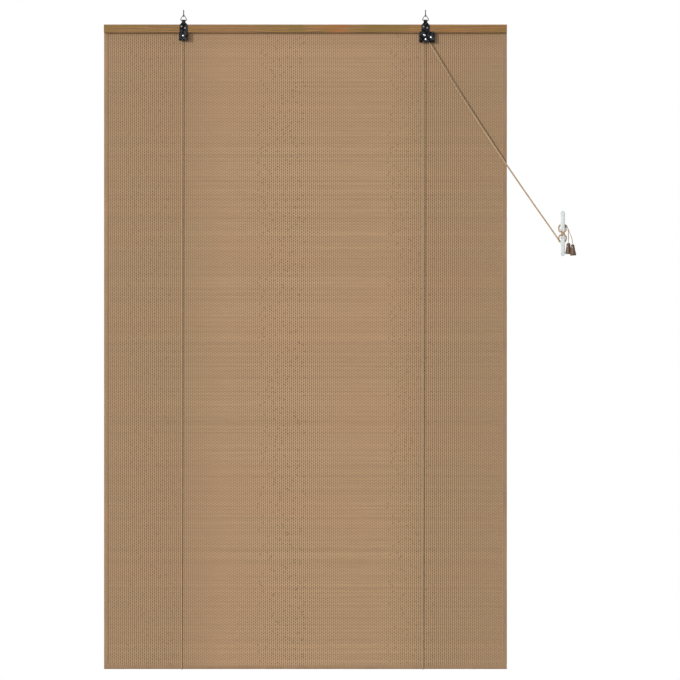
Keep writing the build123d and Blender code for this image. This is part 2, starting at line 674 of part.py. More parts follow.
# Cleat: a bar with moulded edges and rounded ends, on a foot that flares to the wall
bar_y = sum(CLEAT_BAR) / 2
bar_t = CLEAT_BAR[1] - CLEAT_BAR[0]
with BuildPart() as cleat:
    with BuildSketch(Plane.XY.offset(CLEAT_Z - CLEAT_LEN / 2)):
        with Locations((CLEAT_X, bar_y)):
            RectangleRounded(CLEAT_W, bar_t, CLEAT_EDGE)
    extrude(amount=CLEAT_LEN)
    with BuildSketch(side_on(CLEAT_X - CLEAT_W / 2)):
        with Locations((bar_y, CLEAT_Z)):
            SlotOverall(CLEAT_LEN, bar_t, rotation=90)
    extrude(amount=CLEAT_W, mode=Mode.INTERSECT)
    with BuildSketch(facing(CLEAT_X, WALL_Y, CLEAT_Z)):
        SlotOverall(CLEAT_LEN, CLEAT_W, rotation=90)
    extrude(amount=WALL_Y - CLEAT_BAR[0], mode=Mode.INTERSECT)
    with BuildSketch(side_on(CLEAT_X - CLEAT_W / 2)):
        with BuildLine():
            Line((bar_y, CLEAT_Z + CLEAT_WAIST), (CLEAT_BAR[1], CLEAT_Z + CLEAT_WAIST))
            ThreePointArc(
                (CLEAT_BAR[1], CLEAT_Z + CLEAT_WAIST),
                ((CLEAT_BAR[1] + WALL_Y) / 2 + 3, CLEAT_Z + CLEAT_WAIST + 1.2),
                (WALL_Y - 3, CLEAT_Z + CLEAT_FOOT),
            )
            Line((WALL_Y - 3, CLEAT_Z + CLEAT_FOOT), (WALL_Y, CLEAT_Z + CLEAT_FOOT))
            Line((WALL_Y, CLEAT_Z + CLEAT_FOOT), (WALL_Y, CLEAT_Z - CLEAT_FOOT))
            Line((WALL_Y, CLEAT_Z - CLEAT_FOOT), (WALL_Y - 3, CLEAT_Z - CLEAT_FOOT))
            ThreePointArc(
                (WALL_Y - 3, CLEAT_Z - CLEAT_FOOT),
                ((CLEAT_BAR[1] + WALL_Y) / 2 + 3, CLEAT_Z - CLEAT_WAIST - 1.2),
                (CLEAT_BAR[1], CLEAT_Z - CLEAT_WAIST),
            )
            Line((CLEAT_BAR[1], CLEAT_Z - CLEAT_WAIST), (bar_y, CLEAT_Z - CLEAT_WAIST))
            Line((bar_y, CLEAT_Z - CLEAT_WAIST), (bar_y, CLEAT_Z + CLEAT_WAIST))
        make_face()
    extrude(amount=CLEAT_W)
    with BuildSketch(facing(CLEAT_X, WALL_Y, CLEAT_Z)):
        with Locations((0, CLEAT_SCREWS), (0, -CLEAT_SCREWS)):
            Circle(SCREW_HOLE_R)
    extrude(amount=WALL_Y - CLEAT_BAR[0] + 1, mode=Mode.SUBTRACT)
    for z in (CLEAT_Z + CLEAT_SCREWS, CLEAT_Z - CLEAT_SCREWS):
        with BuildSketch(side_on(CLEAT_X)):
            with BuildLine():
                Polyline(
                    (CLEAT_BAR[0] - 0.1, z),
                    (CLEAT_BAR[0] - 0.1, z + SCREW_HEAD_R + 0.3),
                    (CLEAT_BAR[0] + 0.2, z + SCREW_HEAD_R + 0.1),
                    (CLEAT_BAR[0] + 2.2, z + SCREW_HOLE_R),
                    (CLEAT_BAR[0] + 2.2, z),
                    close=True,
                )
            make_face()
        revolve(axis=Axis((CLEAT_X, 0, z), (0, 1, 0)), mode=Mode.SUBTRACT)
cleat.part.label = "cleat"
export_step(cleat.part, "parts/cleat.step")

# Countersunk screws through the cleat into the wall, with crossed driving slots
with BuildPart() as cleat_screws:
    for z in (CLEAT_Z + CLEAT_SCREWS, CLEAT_Z - CLEAT_SCREWS):
        with BuildSketch(side_on(CLEAT_X)):
            with BuildLine():
                Polyline(
                    (CLEAT_BAR[0] + 0.2, z),
                    (CLEAT_BAR[0] + 0.2, z + SCREW_HEAD_R),
                    (CLEAT_BAR[0] + 2.2, z + SCREW_NECK_R),
                    (WALL_Y + 0.1, z + SCREW_NECK_R),
                    (WALL_Y + 0.1, z + SCREW_R),
                    (WALL_Y + SCREW_IN_WALL - 4, z + SCREW_R),
                    (WALL_Y + SCREW_IN_WALL, z),
                    close=True,
                )
            make_face()
        revolve(axis=Axis((CLEAT_X, 0, z), (0, 1, 0)))
        with BuildSketch(facing(CLEAT_X, CLEAT_BAR[0] + 0.2, z)):
            Rectangle(RECESS_LEN, RECESS_W, rotation=20)
            Rectangle(RECESS_W, RECESS_LEN, rotation=20)
        extrude(amount=-RECESS_DEPTH, mode=Mode.SUBTRACT)
cleat_screws.part.label = "cleat_screws"
export_step(cleat_screws.part, "parts/cleat_screws.step")

# Figure of eight round the cleat, as the outer shape of its turns
with BuildPart() as winding:
    with BuildSketch(facing(CLEAT_X, WINDING_Y[0], CLEAT_Z)):
        with Locations((-1.2, 12.0)):
            Circle(11.8)
        with Locations((-1.6, -11.0)):
            Circle(12.8)
    extrude(amount=WINDING_Y[0] - WINDING_Y[1])
    add(cleat.part, mode=Mode.SUBTRACT)
    with BuildSketch(facing(CLEAT_X, WINDING_Y[1] + 1, CLEAT_Z)):
        with Locations((0, CLEAT_SCREWS), (0, -CLEAT_SCREWS)):
            Circle(SCREW_HEAD_R + 0.4)
    extrude(amount=WINDING_Y[1] + 1 - CLEAT_BAR[0], mode=Mode.SUBTRACT)
winding_solid = winding.part.solids().sort_by(SortBy.VOLUME)[-1]
winding_solid.label = "cleat_winding"
export_step(winding_solid, "parts/cleat_winding.step")

# Tails with their knots, and the turned tassels that hang on them
lean = radians(TASSEL_LEAN)
right_axis = Vector(-sin(lean), 0, cos(lean))
tassels = (
    ("left", TASSEL_LEFT, Vector(0, 0, 1), [
        (644.5, 8.5, -529.5),
        (649.5, 8.6, -532.8),
        (653.4, 7.6, -542.5),
        (654.6, 6.0, -558.0),
    ]),
    ("right", TASSEL_RIGHT, right_axis, [
        (647.4, 1.5, -528.5),
        (651.4, -0.6, -535.5),
        (656.8, -3.6, -547.5),
        (663.545, -6.0, -561.826),
    ]),
)
for side, top, up, tail_points in tassels:
    knot = Vector(*top) - up * KNOT_DROP
    top_in = Vector(*top) - up * 1.0
    tail = cord_tube(f"cord_{side}_tail", [*tail_points, tuple(top_in)])
    with BuildPart() as knotted:
        add(tail.part)
        with BuildSketch(Plane(origin=top_in + up * 0.5, z_dir=up)):
            Circle(CORD_R - 0.05)
        extrude(amount=-(KNOT_DROP - 0.5))
        with Locations(knot):
            Sphere(KNOT_R)
    knotted.part.label = f"cord_{side}_tail"
    export_step(knotted.part, f"parts/cord_{side}_tail.step")
    with BuildPart() as tassel:
        with BuildSketch(Plane(origin=top, x_dir=(up.Z, 0, -up.X), z_dir=(0, -1, 0))):
            with BuildLine():
                Line((TASSEL_HOLE_R, 0), (TASSEL_TOP_R - 1.4, 0))
                ThreePointArc(
                    (TASSEL_TOP_R - 1.4, 0), (TASSEL_TOP_R - 0.4, -0.5), (TASSEL_TOP_R, -1.6)
                )
                ThreePointArc(
                    (TASSEL_TOP_R, -1.6),
                    (TASSEL_TOP_R + 1.0, -TASSEL_H * 0.42),
                    (TASSEL_RIM_R, -TASSEL_H + 4.0),
                )
                ThreePointArc(
                    (TASSEL_RIM_R, -TASSEL_H + 4.0),
                    (TASSEL_RIM_R - 0.3, -TASSEL_H + 1.2),
                    (TASSEL_RIM_R - 1.8, -TASSEL_H),
                )
                Polyline(
                    (TASSEL_RIM_R - 1.8, -TASSEL_H),
                    (KNOT_R + 0.9, -TASSEL_H),
                    (KNOT_R + 0.9, -KNOT_DROP + KNOT_R + 0.3),
                    (TASSEL_HOLE_R, -KNOT_DROP + KNOT_R + 0.3),
                    (TASSEL_HOLE_R, 0),
                )
            make_face()
        revolve(axis=Axis(top, tuple(up)))
    tassel.part.label = f"tassel_{side}"
    export_step(tassel.part, f"parts/tassel_{side}.step")
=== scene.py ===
from math import copysign, cos, pi, radians, sin

import bmesh
import bpy
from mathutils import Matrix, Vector


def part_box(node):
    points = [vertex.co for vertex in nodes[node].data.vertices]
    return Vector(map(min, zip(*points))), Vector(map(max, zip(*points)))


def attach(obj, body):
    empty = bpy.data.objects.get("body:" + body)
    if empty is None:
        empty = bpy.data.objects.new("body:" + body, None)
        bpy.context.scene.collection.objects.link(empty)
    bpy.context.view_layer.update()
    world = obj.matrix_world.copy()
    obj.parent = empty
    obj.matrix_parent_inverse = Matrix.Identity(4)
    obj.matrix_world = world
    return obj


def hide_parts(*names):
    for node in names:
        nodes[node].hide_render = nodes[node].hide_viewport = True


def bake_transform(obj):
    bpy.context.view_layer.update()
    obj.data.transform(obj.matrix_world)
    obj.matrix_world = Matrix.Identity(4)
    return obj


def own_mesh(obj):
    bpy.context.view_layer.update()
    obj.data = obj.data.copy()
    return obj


bl_info = {
    "name": "Bamboo roll-up blind",
    "version": (1, 0, 0),
    "blender": (4, 5, 0),
    "location": "View3D > Sidebar > Blind",
    "description": "Models the mat, bindings, cords and finishes of a woven bamboo blind",
    "category": "Object",
}

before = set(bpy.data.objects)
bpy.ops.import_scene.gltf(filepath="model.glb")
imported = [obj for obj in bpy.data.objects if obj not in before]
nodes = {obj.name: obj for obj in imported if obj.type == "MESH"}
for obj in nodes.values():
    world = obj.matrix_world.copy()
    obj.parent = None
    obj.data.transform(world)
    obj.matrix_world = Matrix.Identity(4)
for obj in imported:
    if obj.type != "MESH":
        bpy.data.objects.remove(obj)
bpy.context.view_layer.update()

MM = 0.001

# The free cords' routes are in millimetres. First, from the cord lock down to the cleat
LEFT_RUN = (
    (312.47, 5.2, -80.0), (335.383, 5.2, -118.73), (376.6, 5.6, -184.6),
    (433.85, 5.9, -274.5), (496.55, 6.5, -369.5), (558.35, 7.1, -459.5),
    (600.85, 7.6, -519.5), (626.6, 9.6, -555.6),
)
RIGHT_RUN = (
    (312.47, 3.2, -80.0), (335.383, 3.2, -118.73), (375.2, 3.7, -185.4),
    (432.15, 5.2, -275.5), (494.85, 6.0, -370.5), (556.65, 6.7, -460.5),
    (599.15, 7.2, -520.5), (624.6, 9.6, -556.8),
)
# Last, from the cleat's upper horn down to the knot in each tassel
LEFT_TAIL = (
    (646.6, 8.2, -525.6), (652.0, 8.4, -530.6), (654.4, 7.6, -541.0),
    (654.6, 6.0, -558.0), (654.6, 6.0, -573.0), (654.6, 6.0, -588.5),
)
RIGHT_TAIL = (
    (645.2, 8.0, -527.2), (650.0, 5.6, -529.8), (654.6, 3.4, -538.6),
    (657.6, -0.6, -547.5), (663.545, -6.0, -561.826), (664.4, -6.0, -575.8),
    (665.407, -6.0, -592.27),
)
# Between them, the turns round the cleat's horns: x and z of each loop's middle and of the
# crossing, how far beside the crossing each cord lies, and its y at each pass
LOWER_HORN = (639.7, -560.3)
UPPER_HORN = (639.5, -536.4)
CROSSING = (639.6, -548.3)
CROSSING_SIDE = (0.84, 0.58)
CROSSING_DEPTHS = (-2.5, -4.5, -6.5)
# Half a loop's height, its width as a share of its height, and the power that fills its shoulders
WIDE_TURN = 11.5
NARROW_TURN = 9.5
TURN_SQUEEZE = 0.88
TURN_SHOULDER = 0.8
# Each loop's first and last angle in degrees, the depths that it eases through, and its points
FIRST_LOWER_LOOP = (214, 398, (10.9, 10.9, 10.9, 10.4, 2.5, -2.6), 11)
FIRST_UPPER_LOOP = (220, -36, (-2.2, 2.5, 9.4, 10.9, 10.9, 4.6, -4.4), 12)
SECOND_LOWER_LOOP = (142, 398, (-4.4, 0.8, 7.6, 8.7, 8.2, -0.8, -6.4), 12)
SECOND_UPPER_LOOP = (220, 84, (-6.4, -2.4, 3.0, 8.4, 8.5), 9)
# How far the right cord leans over in its tassel
RIGHT_LEAN = 0.061
# Windings of the cord's strands on its map's two axes. A free cord's map is metres along and one
# turn round. A held cord's is one turn round and, along, a height of which the run takes half
FREE_STRANDS = (430.0, 3.0)
HELD_STRANDS = (3.0, 1320.0)

# Tapes and stitches, in metres
TAPE_THICKNESS = 0.00035
TAPE_FOLD_RADIUS = 0.0011
STITCH_RADIUS = 0.00028
STITCH_LENGTH = 0.0034
STITCH_STEP = 0.005
STITCH_DIP = 0.00035
STITCH_FROM_EDGE = 0.0018
# The hem's free edge stands out by its lap, and the roll's ends are hollow round the dowel
HEM_LAP = 0.00025
HEM_WALL = 0.0019
HEM_HOLLOW = 0.0026

# The stage, in metres, degrees and watts. The camera stands where the photo was taken from
CAMERA_PLACE = (0.0878, -14.0, -0.8126)
CAMERA_LENS_MM = 298.8
SENSOR_WIDTH_MM = 36.0
FARTHEST_SEEN = 100.0
BLIND_MIDDLE = (0.05, 0, -0.8)
WINDOW_WAY = (1.0, 1.0, -0.3)
WINDOW_STRENGTH = 2.0
WINDOW_SPREAD = 8.0
LAMP_SIZE = 3.0
ROOM_FILL_PLACE = (-1.2, -5.0, 0.4)
ROOM_FILL_POWER = 70.0
BACK_FILL_PLACE = (1.2, 5.0, 0.4)
BACK_FILL_POWER = 150.0
AMBIENT_COLOUR = (0.92, 0.96, 1.0, 1.0)
AMBIENT_STRENGTH = 0.31
WHITE = (1.0, 1.0, 1.0, 1.0)
FLOOR_RADIUS = 4.0
FLOOR_PLACE = (0, 0, -1.95)
FLOOR_GLOW = 0.34

# Screen colours of the small pieces and the floor
GALVANISED = (0.46, 0.46, 0.47)
HOOK_WIRE = (0.36, 0.36, 0.37)
PLATE_NAIL = (0.50, 0.50, 0.50)
BRIGHT_RIVET = (0.83, 0.86, 0.90)
CAM_STEEL = (0.66, 0.64, 0.58)
ZINC_SCREW = (0.76, 0.77, 0.78)
RUBBED_METAL = (0.34, 0.34, 0.35)
DOWEL = (0.72, 0.58, 0.42)
DULL_NYLON = (0.78, 0.77, 0.72)
CLEAN_NYLON = (0.86, 0.85, 0.80)
DARK_FLOOR = (0.86, 0.86, 0.85)
PALE_FLOOR = (0.89, 0.89, 0.88)


class BlindSizes(bpy.types.PropertyGroup):
    """Sizes that change how the woven parts and the cords look."""

    stick_pitch: bpy.props.FloatProperty(
        name="Stick pitch", description="From one bamboo stick to the next",
        default=0.0034, min=0.002, unit="LENGTH")
    stick_height: bpy.props.FloatProperty(
        name="Stick height", description="Height of one stick, which just laps the next",
        default=0.00352, unit="LENGTH")
    stick_thickness: bpy.props.FloatProperty(
        name="Stick thickness", description="Thickness of one stick",
        default=0.0012, unit="LENGTH")
    yarn_pitch: bpy.props.FloatProperty(
        name="Yarn pitch", description="From one warp yarn to the next",
        default=0.005, unit="LENGTH")
    yarn_width: bpy.props.FloatProperty(
        name="Yarn width", description="Width of a warp yarn where it lies on a stick",
        default=0.0015, unit="LENGTH")
    cord_diameter: bpy.props.FloatProperty(
        name="Cord diameter", description="Diameter of the lift cords",
        default=0.0019, unit="LENGTH")
    left_cord: bpy.props.FloatProperty(
        name="Left free cord", description="Length of the left cord from the lock to its knot",
        default=0.881, unit="LENGTH")
    right_cord: bpy.props.FloatProperty(
        name="Right free cord", description="Length of the right cord from the lock to its knot",
        default=0.889, unit="LENGTH")


class BlindColours(bpy.types.PropertyGroup):
    """Colours as they show on a screen."""

    bamboo: bpy.props.FloatVectorProperty(
        name="Bamboo", description="Middle tone of the sticks", subtype="COLOR_GAMMA",
        default=(0.709, 0.582, 0.443), min=0, max=1)
    yarn: bpy.props.FloatVectorProperty(
        name="Yarn", description="Warp yarn between the sticks", subtype="COLOR_GAMMA",
        default=(0.45, 0.345, 0.24), min=0, max=1)
    binding: bpy.props.FloatVectorProperty(
        name="Binding", description="Tape along both sides and round the bottom",
        subtype="COLOR_GAMMA", default=(0.65, 0.52, 0.40), min=0, max=1)
    slat: bpy.props.FloatVectorProperty(
        name="Slat", description="Varnished wood of the headrail", subtype="COLOR_GAMMA",
        default=(0.575, 0.42, 0.245), min=0, max=1)
    cord: bpy.props.FloatVectorProperty(
        name="Cord", description="Twisted lift cord", subtype="COLOR_GAMMA",
        default=(0.78, 0.67, 0.53), min=0, max=1)
    tassel: bpy.props.FloatVectorProperty(
        name="Tassel", description="Stained wood of the tassels", subtype="COLOR_GAMMA",
        default=(0.41, 0.31, 0.235), min=0, max=1)
    cleat: bpy.props.FloatVectorProperty(
        name="Cleat", description="Milky plastic of the cleat", subtype="COLOR_GAMMA",
        default=(0.865, 0.88, 0.87), min=0, max=1)
    metal: bpy.props.FloatVectorProperty(
        name="Painted metal", description="Black paint of the plates and housings",
        subtype="COLOR_GAMMA", default=(0.035, 0.03, 0.04), min=0, max=1)


def sizes():
    return bpy.context.scene.blind_sizes


def colours():
    return bpy.context.scene.blind_colours


# Hand tools

def clear():
    """Object mode with nothing selected."""
    if bpy.context.object and bpy.context.object.mode != "OBJECT":
        bpy.ops.object.mode_set(mode="OBJECT")
    bpy.ops.object.select_all(action="DESELECT")


def only(piece):
    """That piece alone selected and active."""
    clear()
    piece.select_set(True)
    bpy.context.view_layer.objects.active = piece


def settle(name):
    """The new primitive, named, with its place moved into its mesh."""
    piece = bpy.context.object
    piece.name = name
    piece.data.name = name
    bpy.ops.object.transform_apply(location=True, rotation=True, scale=True)
    return piece


def pick(piece, kind, test):
    """Edit mode with the vertices, edges or faces selected that pass the test."""
    only(piece)
    bpy.ops.object.mode_set(mode="EDIT")
    bpy.ops.mesh.select_mode(type=kind)
    bpy.ops.mesh.select_all(action="DESELECT")
    mesh = bmesh.from_edit_mesh(piece.data)
    parts = {"VERT": mesh.verts, "EDGE": mesh.edges, "FACE": mesh.faces}[kind]
    for part in parts:
        if test(part):
            part.select_set(True)
    bmesh.update_edit_mesh(piece.data)


def pick_all(piece):
    """Edit mode with everything selected."""
    only(piece)
    bpy.ops.object.mode_set(mode="EDIT")
    bpy.ops.mesh.select_all(action="SELECT")


def runs_along(edge, axis):
    """Whether an edge runs along an axis, given by its number."""
    way = edge.verts[1].co - edge.verts[0].co
    return abs(way[axis]) > 0.98 * way.length


def faces_way(face, axis, sign):
    """Whether a face looks forwards or backwards along an axis."""
    return face.normal[axis] * sign > 0.9


def array(piece, count, step, merge=False):
    """The piece repeated in one direction and applied."""
    only(piece)
    bpy.ops.object.modifier_add(type="ARRAY")
    modifier = piece.modifiers[-1]
    modifier.count = count
    modifier.use_relative_offset = False
    modifier.use_constant_offset = True
    modifier.constant_offset_displace = step
    modifier.use_merge_vertices = merge
    modifier.merge_threshold = 0.0001
    bpy.ops.object.modifier_apply(modifier=modifier.name)


def roughen(piece, offset, seed):
    """Small hand-made unevenness."""
    pick_all(piece)
    bpy.ops.transform.vertex_random(offset=offset, uniform=1.0, normal=0.0, seed=seed)
    bpy.ops.object.mode_set(mode="OBJECT")


def smooth(piece, angle):
    """Smooth shading, with creases sharper than so many degrees kept."""
    only(piece)
    bpy.ops.object.shade_smooth_by_angle(angle=radians(angle))


def dress(piece, material, body=None, stands_for=()):
    """Material, slot, body and the CAD nodes that the piece stands for."""
    clear()
    piece.data.materials.clear()
    piece.data.materials.append(material)
    if body:
        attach(piece, body)
    if stands_for:
        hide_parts(*stands_for)


def gather(piece):
    """The piece gets a copy of its mesh as its own."""
    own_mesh(piece)


# Materials

def linear(colour):
    """A screen colour as the renderer's linear one."""
    values = [c / 12.92 if c <= 0.04045 else ((c + 0.055) / 1.055) ** 2.4 for c in colour]
    return (*values, 1.0)


def shade(colour, factor):
    """A lighter or darker tone of a screen colour, as linear."""
    return linear([min(1.0, c * factor) for c in colour])


class Finish:
    """One material and the nodes that feed its shader."""

    def __init__(self, name, roughness, metallic=0.0, gloss=0.5):
        self.material = bpy.data.materials.new(name)
        self.material.use_nodes = True
        self.tree = self.material.node_tree
        self.shader = self.tree.nodes["Principled BSDF"]
        self.give("Roughness", roughness)
        self.give("Metallic", metallic)
        self.give("Specular IOR Level", gloss)

    def feed(self, socket, value):
        """A link from another node's socket, or a plain value."""
        if isinstance(value, bpy.types.NodeSocket):
            self.tree.links.new(value, socket)
        else:
            socket.default_value = value

    def give(self, name, value):
        """The same, for one of the shader's own sockets."""
        self.feed(self.shader.inputs[name], value)

    def node(self, kind, inputs=None, **settings):
        made = self.tree.nodes.new(kind)
        for key, value in settings.items():
            setattr(made, key, value)
        for key, value in (inputs or {}).items():
            self.feed(made.inputs[key], value)
        return made

    def place(self, scale=(1, 1, 1), location=(0, 0, 0), rotation=(0, 0, 0)):
        """Object coordinates, stretched or turned."""
        where = self.node("ShaderNodeTexCoord").outputs["Object"]
        return self.node("ShaderNodeMapping", {
            "Vector": where, "Scale": scale, "Location": location, "Rotation": rotation,
        }).outputs["Vector"]

    def noise(self, vector, scale, detail=4.0, roughness=0.55, distortion=0.0):
        return self.node("ShaderNodeTexNoise", {
            "Vector": vector, "Scale": scale, "Detail": detail,
            "Roughness": roughness, "Distortion": distortion,
        }).outputs["Fac"]

    def wave(self, vector, bands, scale, distortion, detail, detail_scale=1.0):
        return self.node("ShaderNodeTexWave", {
            "Vector": vector, "Scale": scale, "Distortion": distortion,
            "Detail": detail, "Detail Scale": detail_scale,
        }, bands_direction=bands).outputs["Fac"]

    def math(self, operation, first, second=0.0, third=0.0):
        made = self.node("ShaderNodeMath", operation=operation)
        for socket, value in zip(made.inputs, (first, second, third)):
            self.feed(socket, value)
        return made.outputs[0]

    def span(self, value, low, high, to_low=0.0, to_high=1.0):
        return self.node("ShaderNodeMapRange", {
            "Value": value, "From Min": low, "From Max": high, "To Min": to_low, "To Max": to_high,
        }).outputs["Result"]

    def ramp(self, value, *stops):
        made = self.node("ShaderNodeValToRGB", {"Fac": value})
        elements = made.color_ramp.elements
        while len(elements) < len(stops):
            elements.new(0.5)
        for element, (position, colour) in zip(elements, stops):
            element.position = position
            element.color = colour
        return made.outputs["Color"]

    def tones(self, value, base, *stops):
        """A ramp through lighter and darker tones of one colour, as positions and factors."""
        return self.ramp(value, *((position, shade(base, factor)) for position, factor in stops))

    def mix(self, factor, first, second):
        made = self.node("ShaderNodeMix", data_type="RGBA")
        # a colour mix takes its factor at socket 0, its colours at 6 and 7, and gives at 2
        for number, value in ((0, factor), (6, first), (7, second)):
            self.feed(made.inputs[number], value)
        return made.outputs[2]

    def colour(self, value):
        self.give("Base Color", value)

    def roughness(self, value):
        self.give("Roughness", value)

    def bump(self, height, distance, strength):
        made = self.node("ShaderNodeBump", {
            "Height": height, "Distance": distance, "Strength": strength,
        }).outputs["Normal"]
        self.give("Normal", made)


def bamboo_finish():
    """Split bamboo: a tone of its own for each stick, long fibres, darker joints here and there."""
    base = tuple(colours().bamboo)
    paint = Finish("split_bamboo", roughness=0.6, gloss=0.2)
    pitch = sizes().stick_pitch
    where = paint.place()
    split = paint.node("ShaderNodeSeparateXYZ", {"Vector": where})
    row = paint.math("FLOOR", paint.math("DIVIDE", split.outputs["Z"], pitch))
    tone = paint.node("ShaderNodeTexWhiteNoise", {"W": row}, noise_dimensions="1D").outputs["Value"]
    fibre = paint.noise(paint.place(scale=(14, 900, 1400)), 1.0, 5.0)
    patch = paint.noise(paint.place(scale=(2.2, 2.2, 7.0)), 1.0, 2.0)
    stick = paint.tones(tone, base, (0.0, 0.94), (0.35, 0.98), (0.75, 1.02), (1.0, 1.06))
    streaks = paint.tones(fibre, base, (0.25, 0.72), (0.5, 1.0), (0.8, 1.16))
    streaked = paint.mix(0.35, stick, streaks)
    rosy = (min(1.0, base[0] * 1.03), base[1] * 0.965, base[2] * 0.99)
    faded = paint.mix(paint.span(patch, 0.42, 0.62), streaked, shade(rosy, 1.0))
    tinted = paint.mix(0.35, streaked, faded)
    # a joint of the cane every third of a metre, at another place on each stick
    joints_per_metre, joint_shift, joint_share = 3.1, 0.37, 0.012
    shifted = paint.math("MULTIPLY", tone, joint_shift)
    along = paint.math("ADD", paint.math("MULTIPLY", split.outputs["X"], joints_per_metre), shifted)
    near_joint = paint.math("LESS_THAN", paint.math("FRACT", along), joint_share)
    jointed = paint.mix(paint.math("MULTIPLY", near_joint, 0.5), tinted, shade(base, 0.62))
    # painted shade: a dark stripe across the sticks at every yarn, where the yarn shades them, deeper
    # towards the mat's sides, which are darker too
    yarn_shade_core, yarn_shade_edge, side_from, side_to = 0.0005, 0.0011, 0.20, 0.32
    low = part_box("woven_mat")[0]
    from_yarn = paint.math("PINGPONG", paint.math("SUBTRACT", split.outputs["X"], low.x),
                           sizes().yarn_pitch / 2)
    # the painted shade's strength, full near the yarn's middle and none past its edge
    mark = paint.span(from_yarn, yarn_shade_core, yarn_shade_edge, 1.0, 0.0)
    sideways = paint.span(paint.math("ABSOLUTE", split.outputs["X"]), side_from, side_to)
    depth = paint.math("MULTIPLY", mark, paint.math("MULTIPLY_ADD", sideways, 0.35, 0.42))
    # the sticks darkened by the painted shade of the yarns
    yarn_shaded = paint.mix(depth, jointed, shade(base, 0.60))
    paint.colour(paint.mix(paint.math("MULTIPLY", sideways, 0.38), yarn_shaded, shade(base, 0.84)))
    paint.roughness(paint.span(fibre, 0.3, 0.7, 0.48, 0.68))
    paint.bump(fibre, 0.00018, 0.6)
    return paint.material


def yarn_finish():
    """Fine two-ply yarn that holds the sticks."""
    base = tuple(colours().yarn)
    paint = Finish("warp_yarn", roughness=0.9, gloss=0.1)
    where = paint.place()
    twist = paint.wave(paint.place(rotation=(0, radians(35), 0)), "X", 420.0, 1.5, 1.0)
    fuzz = paint.noise(where, 900.0, 3.0)
    both = paint.math("MULTIPLY", paint.math("ADD", twist, fuzz), 0.5)
    paint.colour(paint.tones(both, base, (0.2, 0.72), (0.5, 1.0), (0.85, 1.2)))
    paint.bump(twist, 0.0002, 0.6)
    return paint.material


def cloth_finish(name, base):
    """Plain-woven cotton tape."""
    paint = Finish(name, roughness=0.9, gloss=0.15)
    where = paint.place()
    warp = paint.wave(where, "X", 330.0, 0.6, 1.0)
    weft = paint.wave(where, "Z", 330.0, 0.6, 1.0)
    weave = paint.math("MAXIMUM", warp, weft)
    soil = paint.noise(paint.place(scale=(1, 1, 0.5)), 26.0, 4.0)
    cloth = paint.tones(weave, base, (0.15, 0.84), (0.7, 1.0), (1.0, 1.07))
    paint.colour(paint.mix(0.4, cloth, paint.tones(soil, base, (0.3, 0.9), (0.7, 1.06))))
    paint.bump(weave, 0.00022, 0.7)
    paint.give("Sheen Weight", 0.15)
    return paint.material


def cord_finish(name, windings):
    """Twisted cord: strands wound on the tube's own map, so many along its first axis and its second."""
    base = tuple(colours().cord)
    paint = Finish(name, roughness=0.85, gloss=0.15)
    tube_map = paint.node("ShaderNodeUVMap").outputs["UV"]
    split = paint.node("ShaderNodeSeparateXYZ", {"Vector": tube_map})
    wound = paint.math("ADD", paint.math("MULTIPLY", split.outputs["X"], windings[0]),
                       paint.math("MULTIPLY", split.outputs["Y"], windings[1]))
    strand = paint.math("ABSOLUTE", paint.math("SINE", paint.math("MULTIPLY", wound, pi)))
    fibre = paint.noise(paint.place(), 1100.0, 3.0)
    worn = paint.noise(paint.place(), 30.0, 2.0)
    twisted = paint.tones(strand, base, (0.0, 0.55), (0.35, 0.92), (1.0, 1.08))
    both = paint.math("MULTIPLY", paint.math("ADD", fibre, worn), 0.5)
    paint.colour(paint.mix(0.35, twisted, paint.tones(both, base, (0.3, 0.78), (0.7, 1.12))))
    paint.bump(strand, 0.0003, 0.8)
    paint.give("Sheen Weight", 0.2)
    return paint.material


def plain_cord_finish():
    """The same cord where it is short and partly hidden: strands by place."""
    base = tuple(colours().cord)
    paint = Finish("twisted_cord_short", roughness=0.85, gloss=0.15)
    strand = paint.wave(paint.place(rotation=(0, radians(40), radians(20))), "X", 210.0, 0.4, 1.0)
    paint.colour(paint.tones(strand, base, (0.0, 0.62), (0.5, 0.95), (1.0, 1.08)))
    paint.bump(strand, 0.0003, 0.7)
    return paint.material


def slat_finish(name, base, roughness=0.42):
    """Varnished softwood with long grain, olive patches and orange streaks of resin."""
    paint = Finish(name, roughness=roughness, gloss=0.2)
    grain = paint.wave(paint.place(scale=(1.6, 30, 30)), "Z", 2.4, 9.0, 4.0, 1.2)
    fibre = paint.noise(paint.place(scale=(22, 1500, 1500)), 1.0, 4.0)
    patch = paint.noise(paint.place(scale=(9, 20, 20)), 1.0, 3.0, distortion=0.6)
    wood = paint.tones(grain, base, (0.1, 0.78), (0.45, 0.98), (0.9, 1.12))
    olive = (base[0] * 0.84, base[1] * 0.94, base[2] * 0.62)
    mossy = paint.mix(paint.span(patch, 0.48, 0.62, 0.0, 0.75), wood, shade(olive, 0.97))
    resin = paint.noise(paint.place(scale=(7, 60, 60), location=(3, 0, 0)), 1.0, 2.0)
    orange = (base[0] * 1.14, base[1] * 0.90, base[2] * 0.66)
    patched = paint.mix(paint.span(resin, 0.56, 0.68, 0.0, 0.8), mossy, shade(orange, 1.0))
    paint.colour(paint.mix(0.22, patched, paint.tones(fibre, base, (0.3, 0.7), (0.7, 1.15))))
    paint.roughness(paint.span(fibre, 0.3, 0.7, roughness - 0.08, roughness + 0.12))
    paint.bump(fibre, 0.00015, 0.5)
    paint.give("Coat Weight", 0.08)
    paint.give("Coat Roughness", 0.3)
    return paint.material


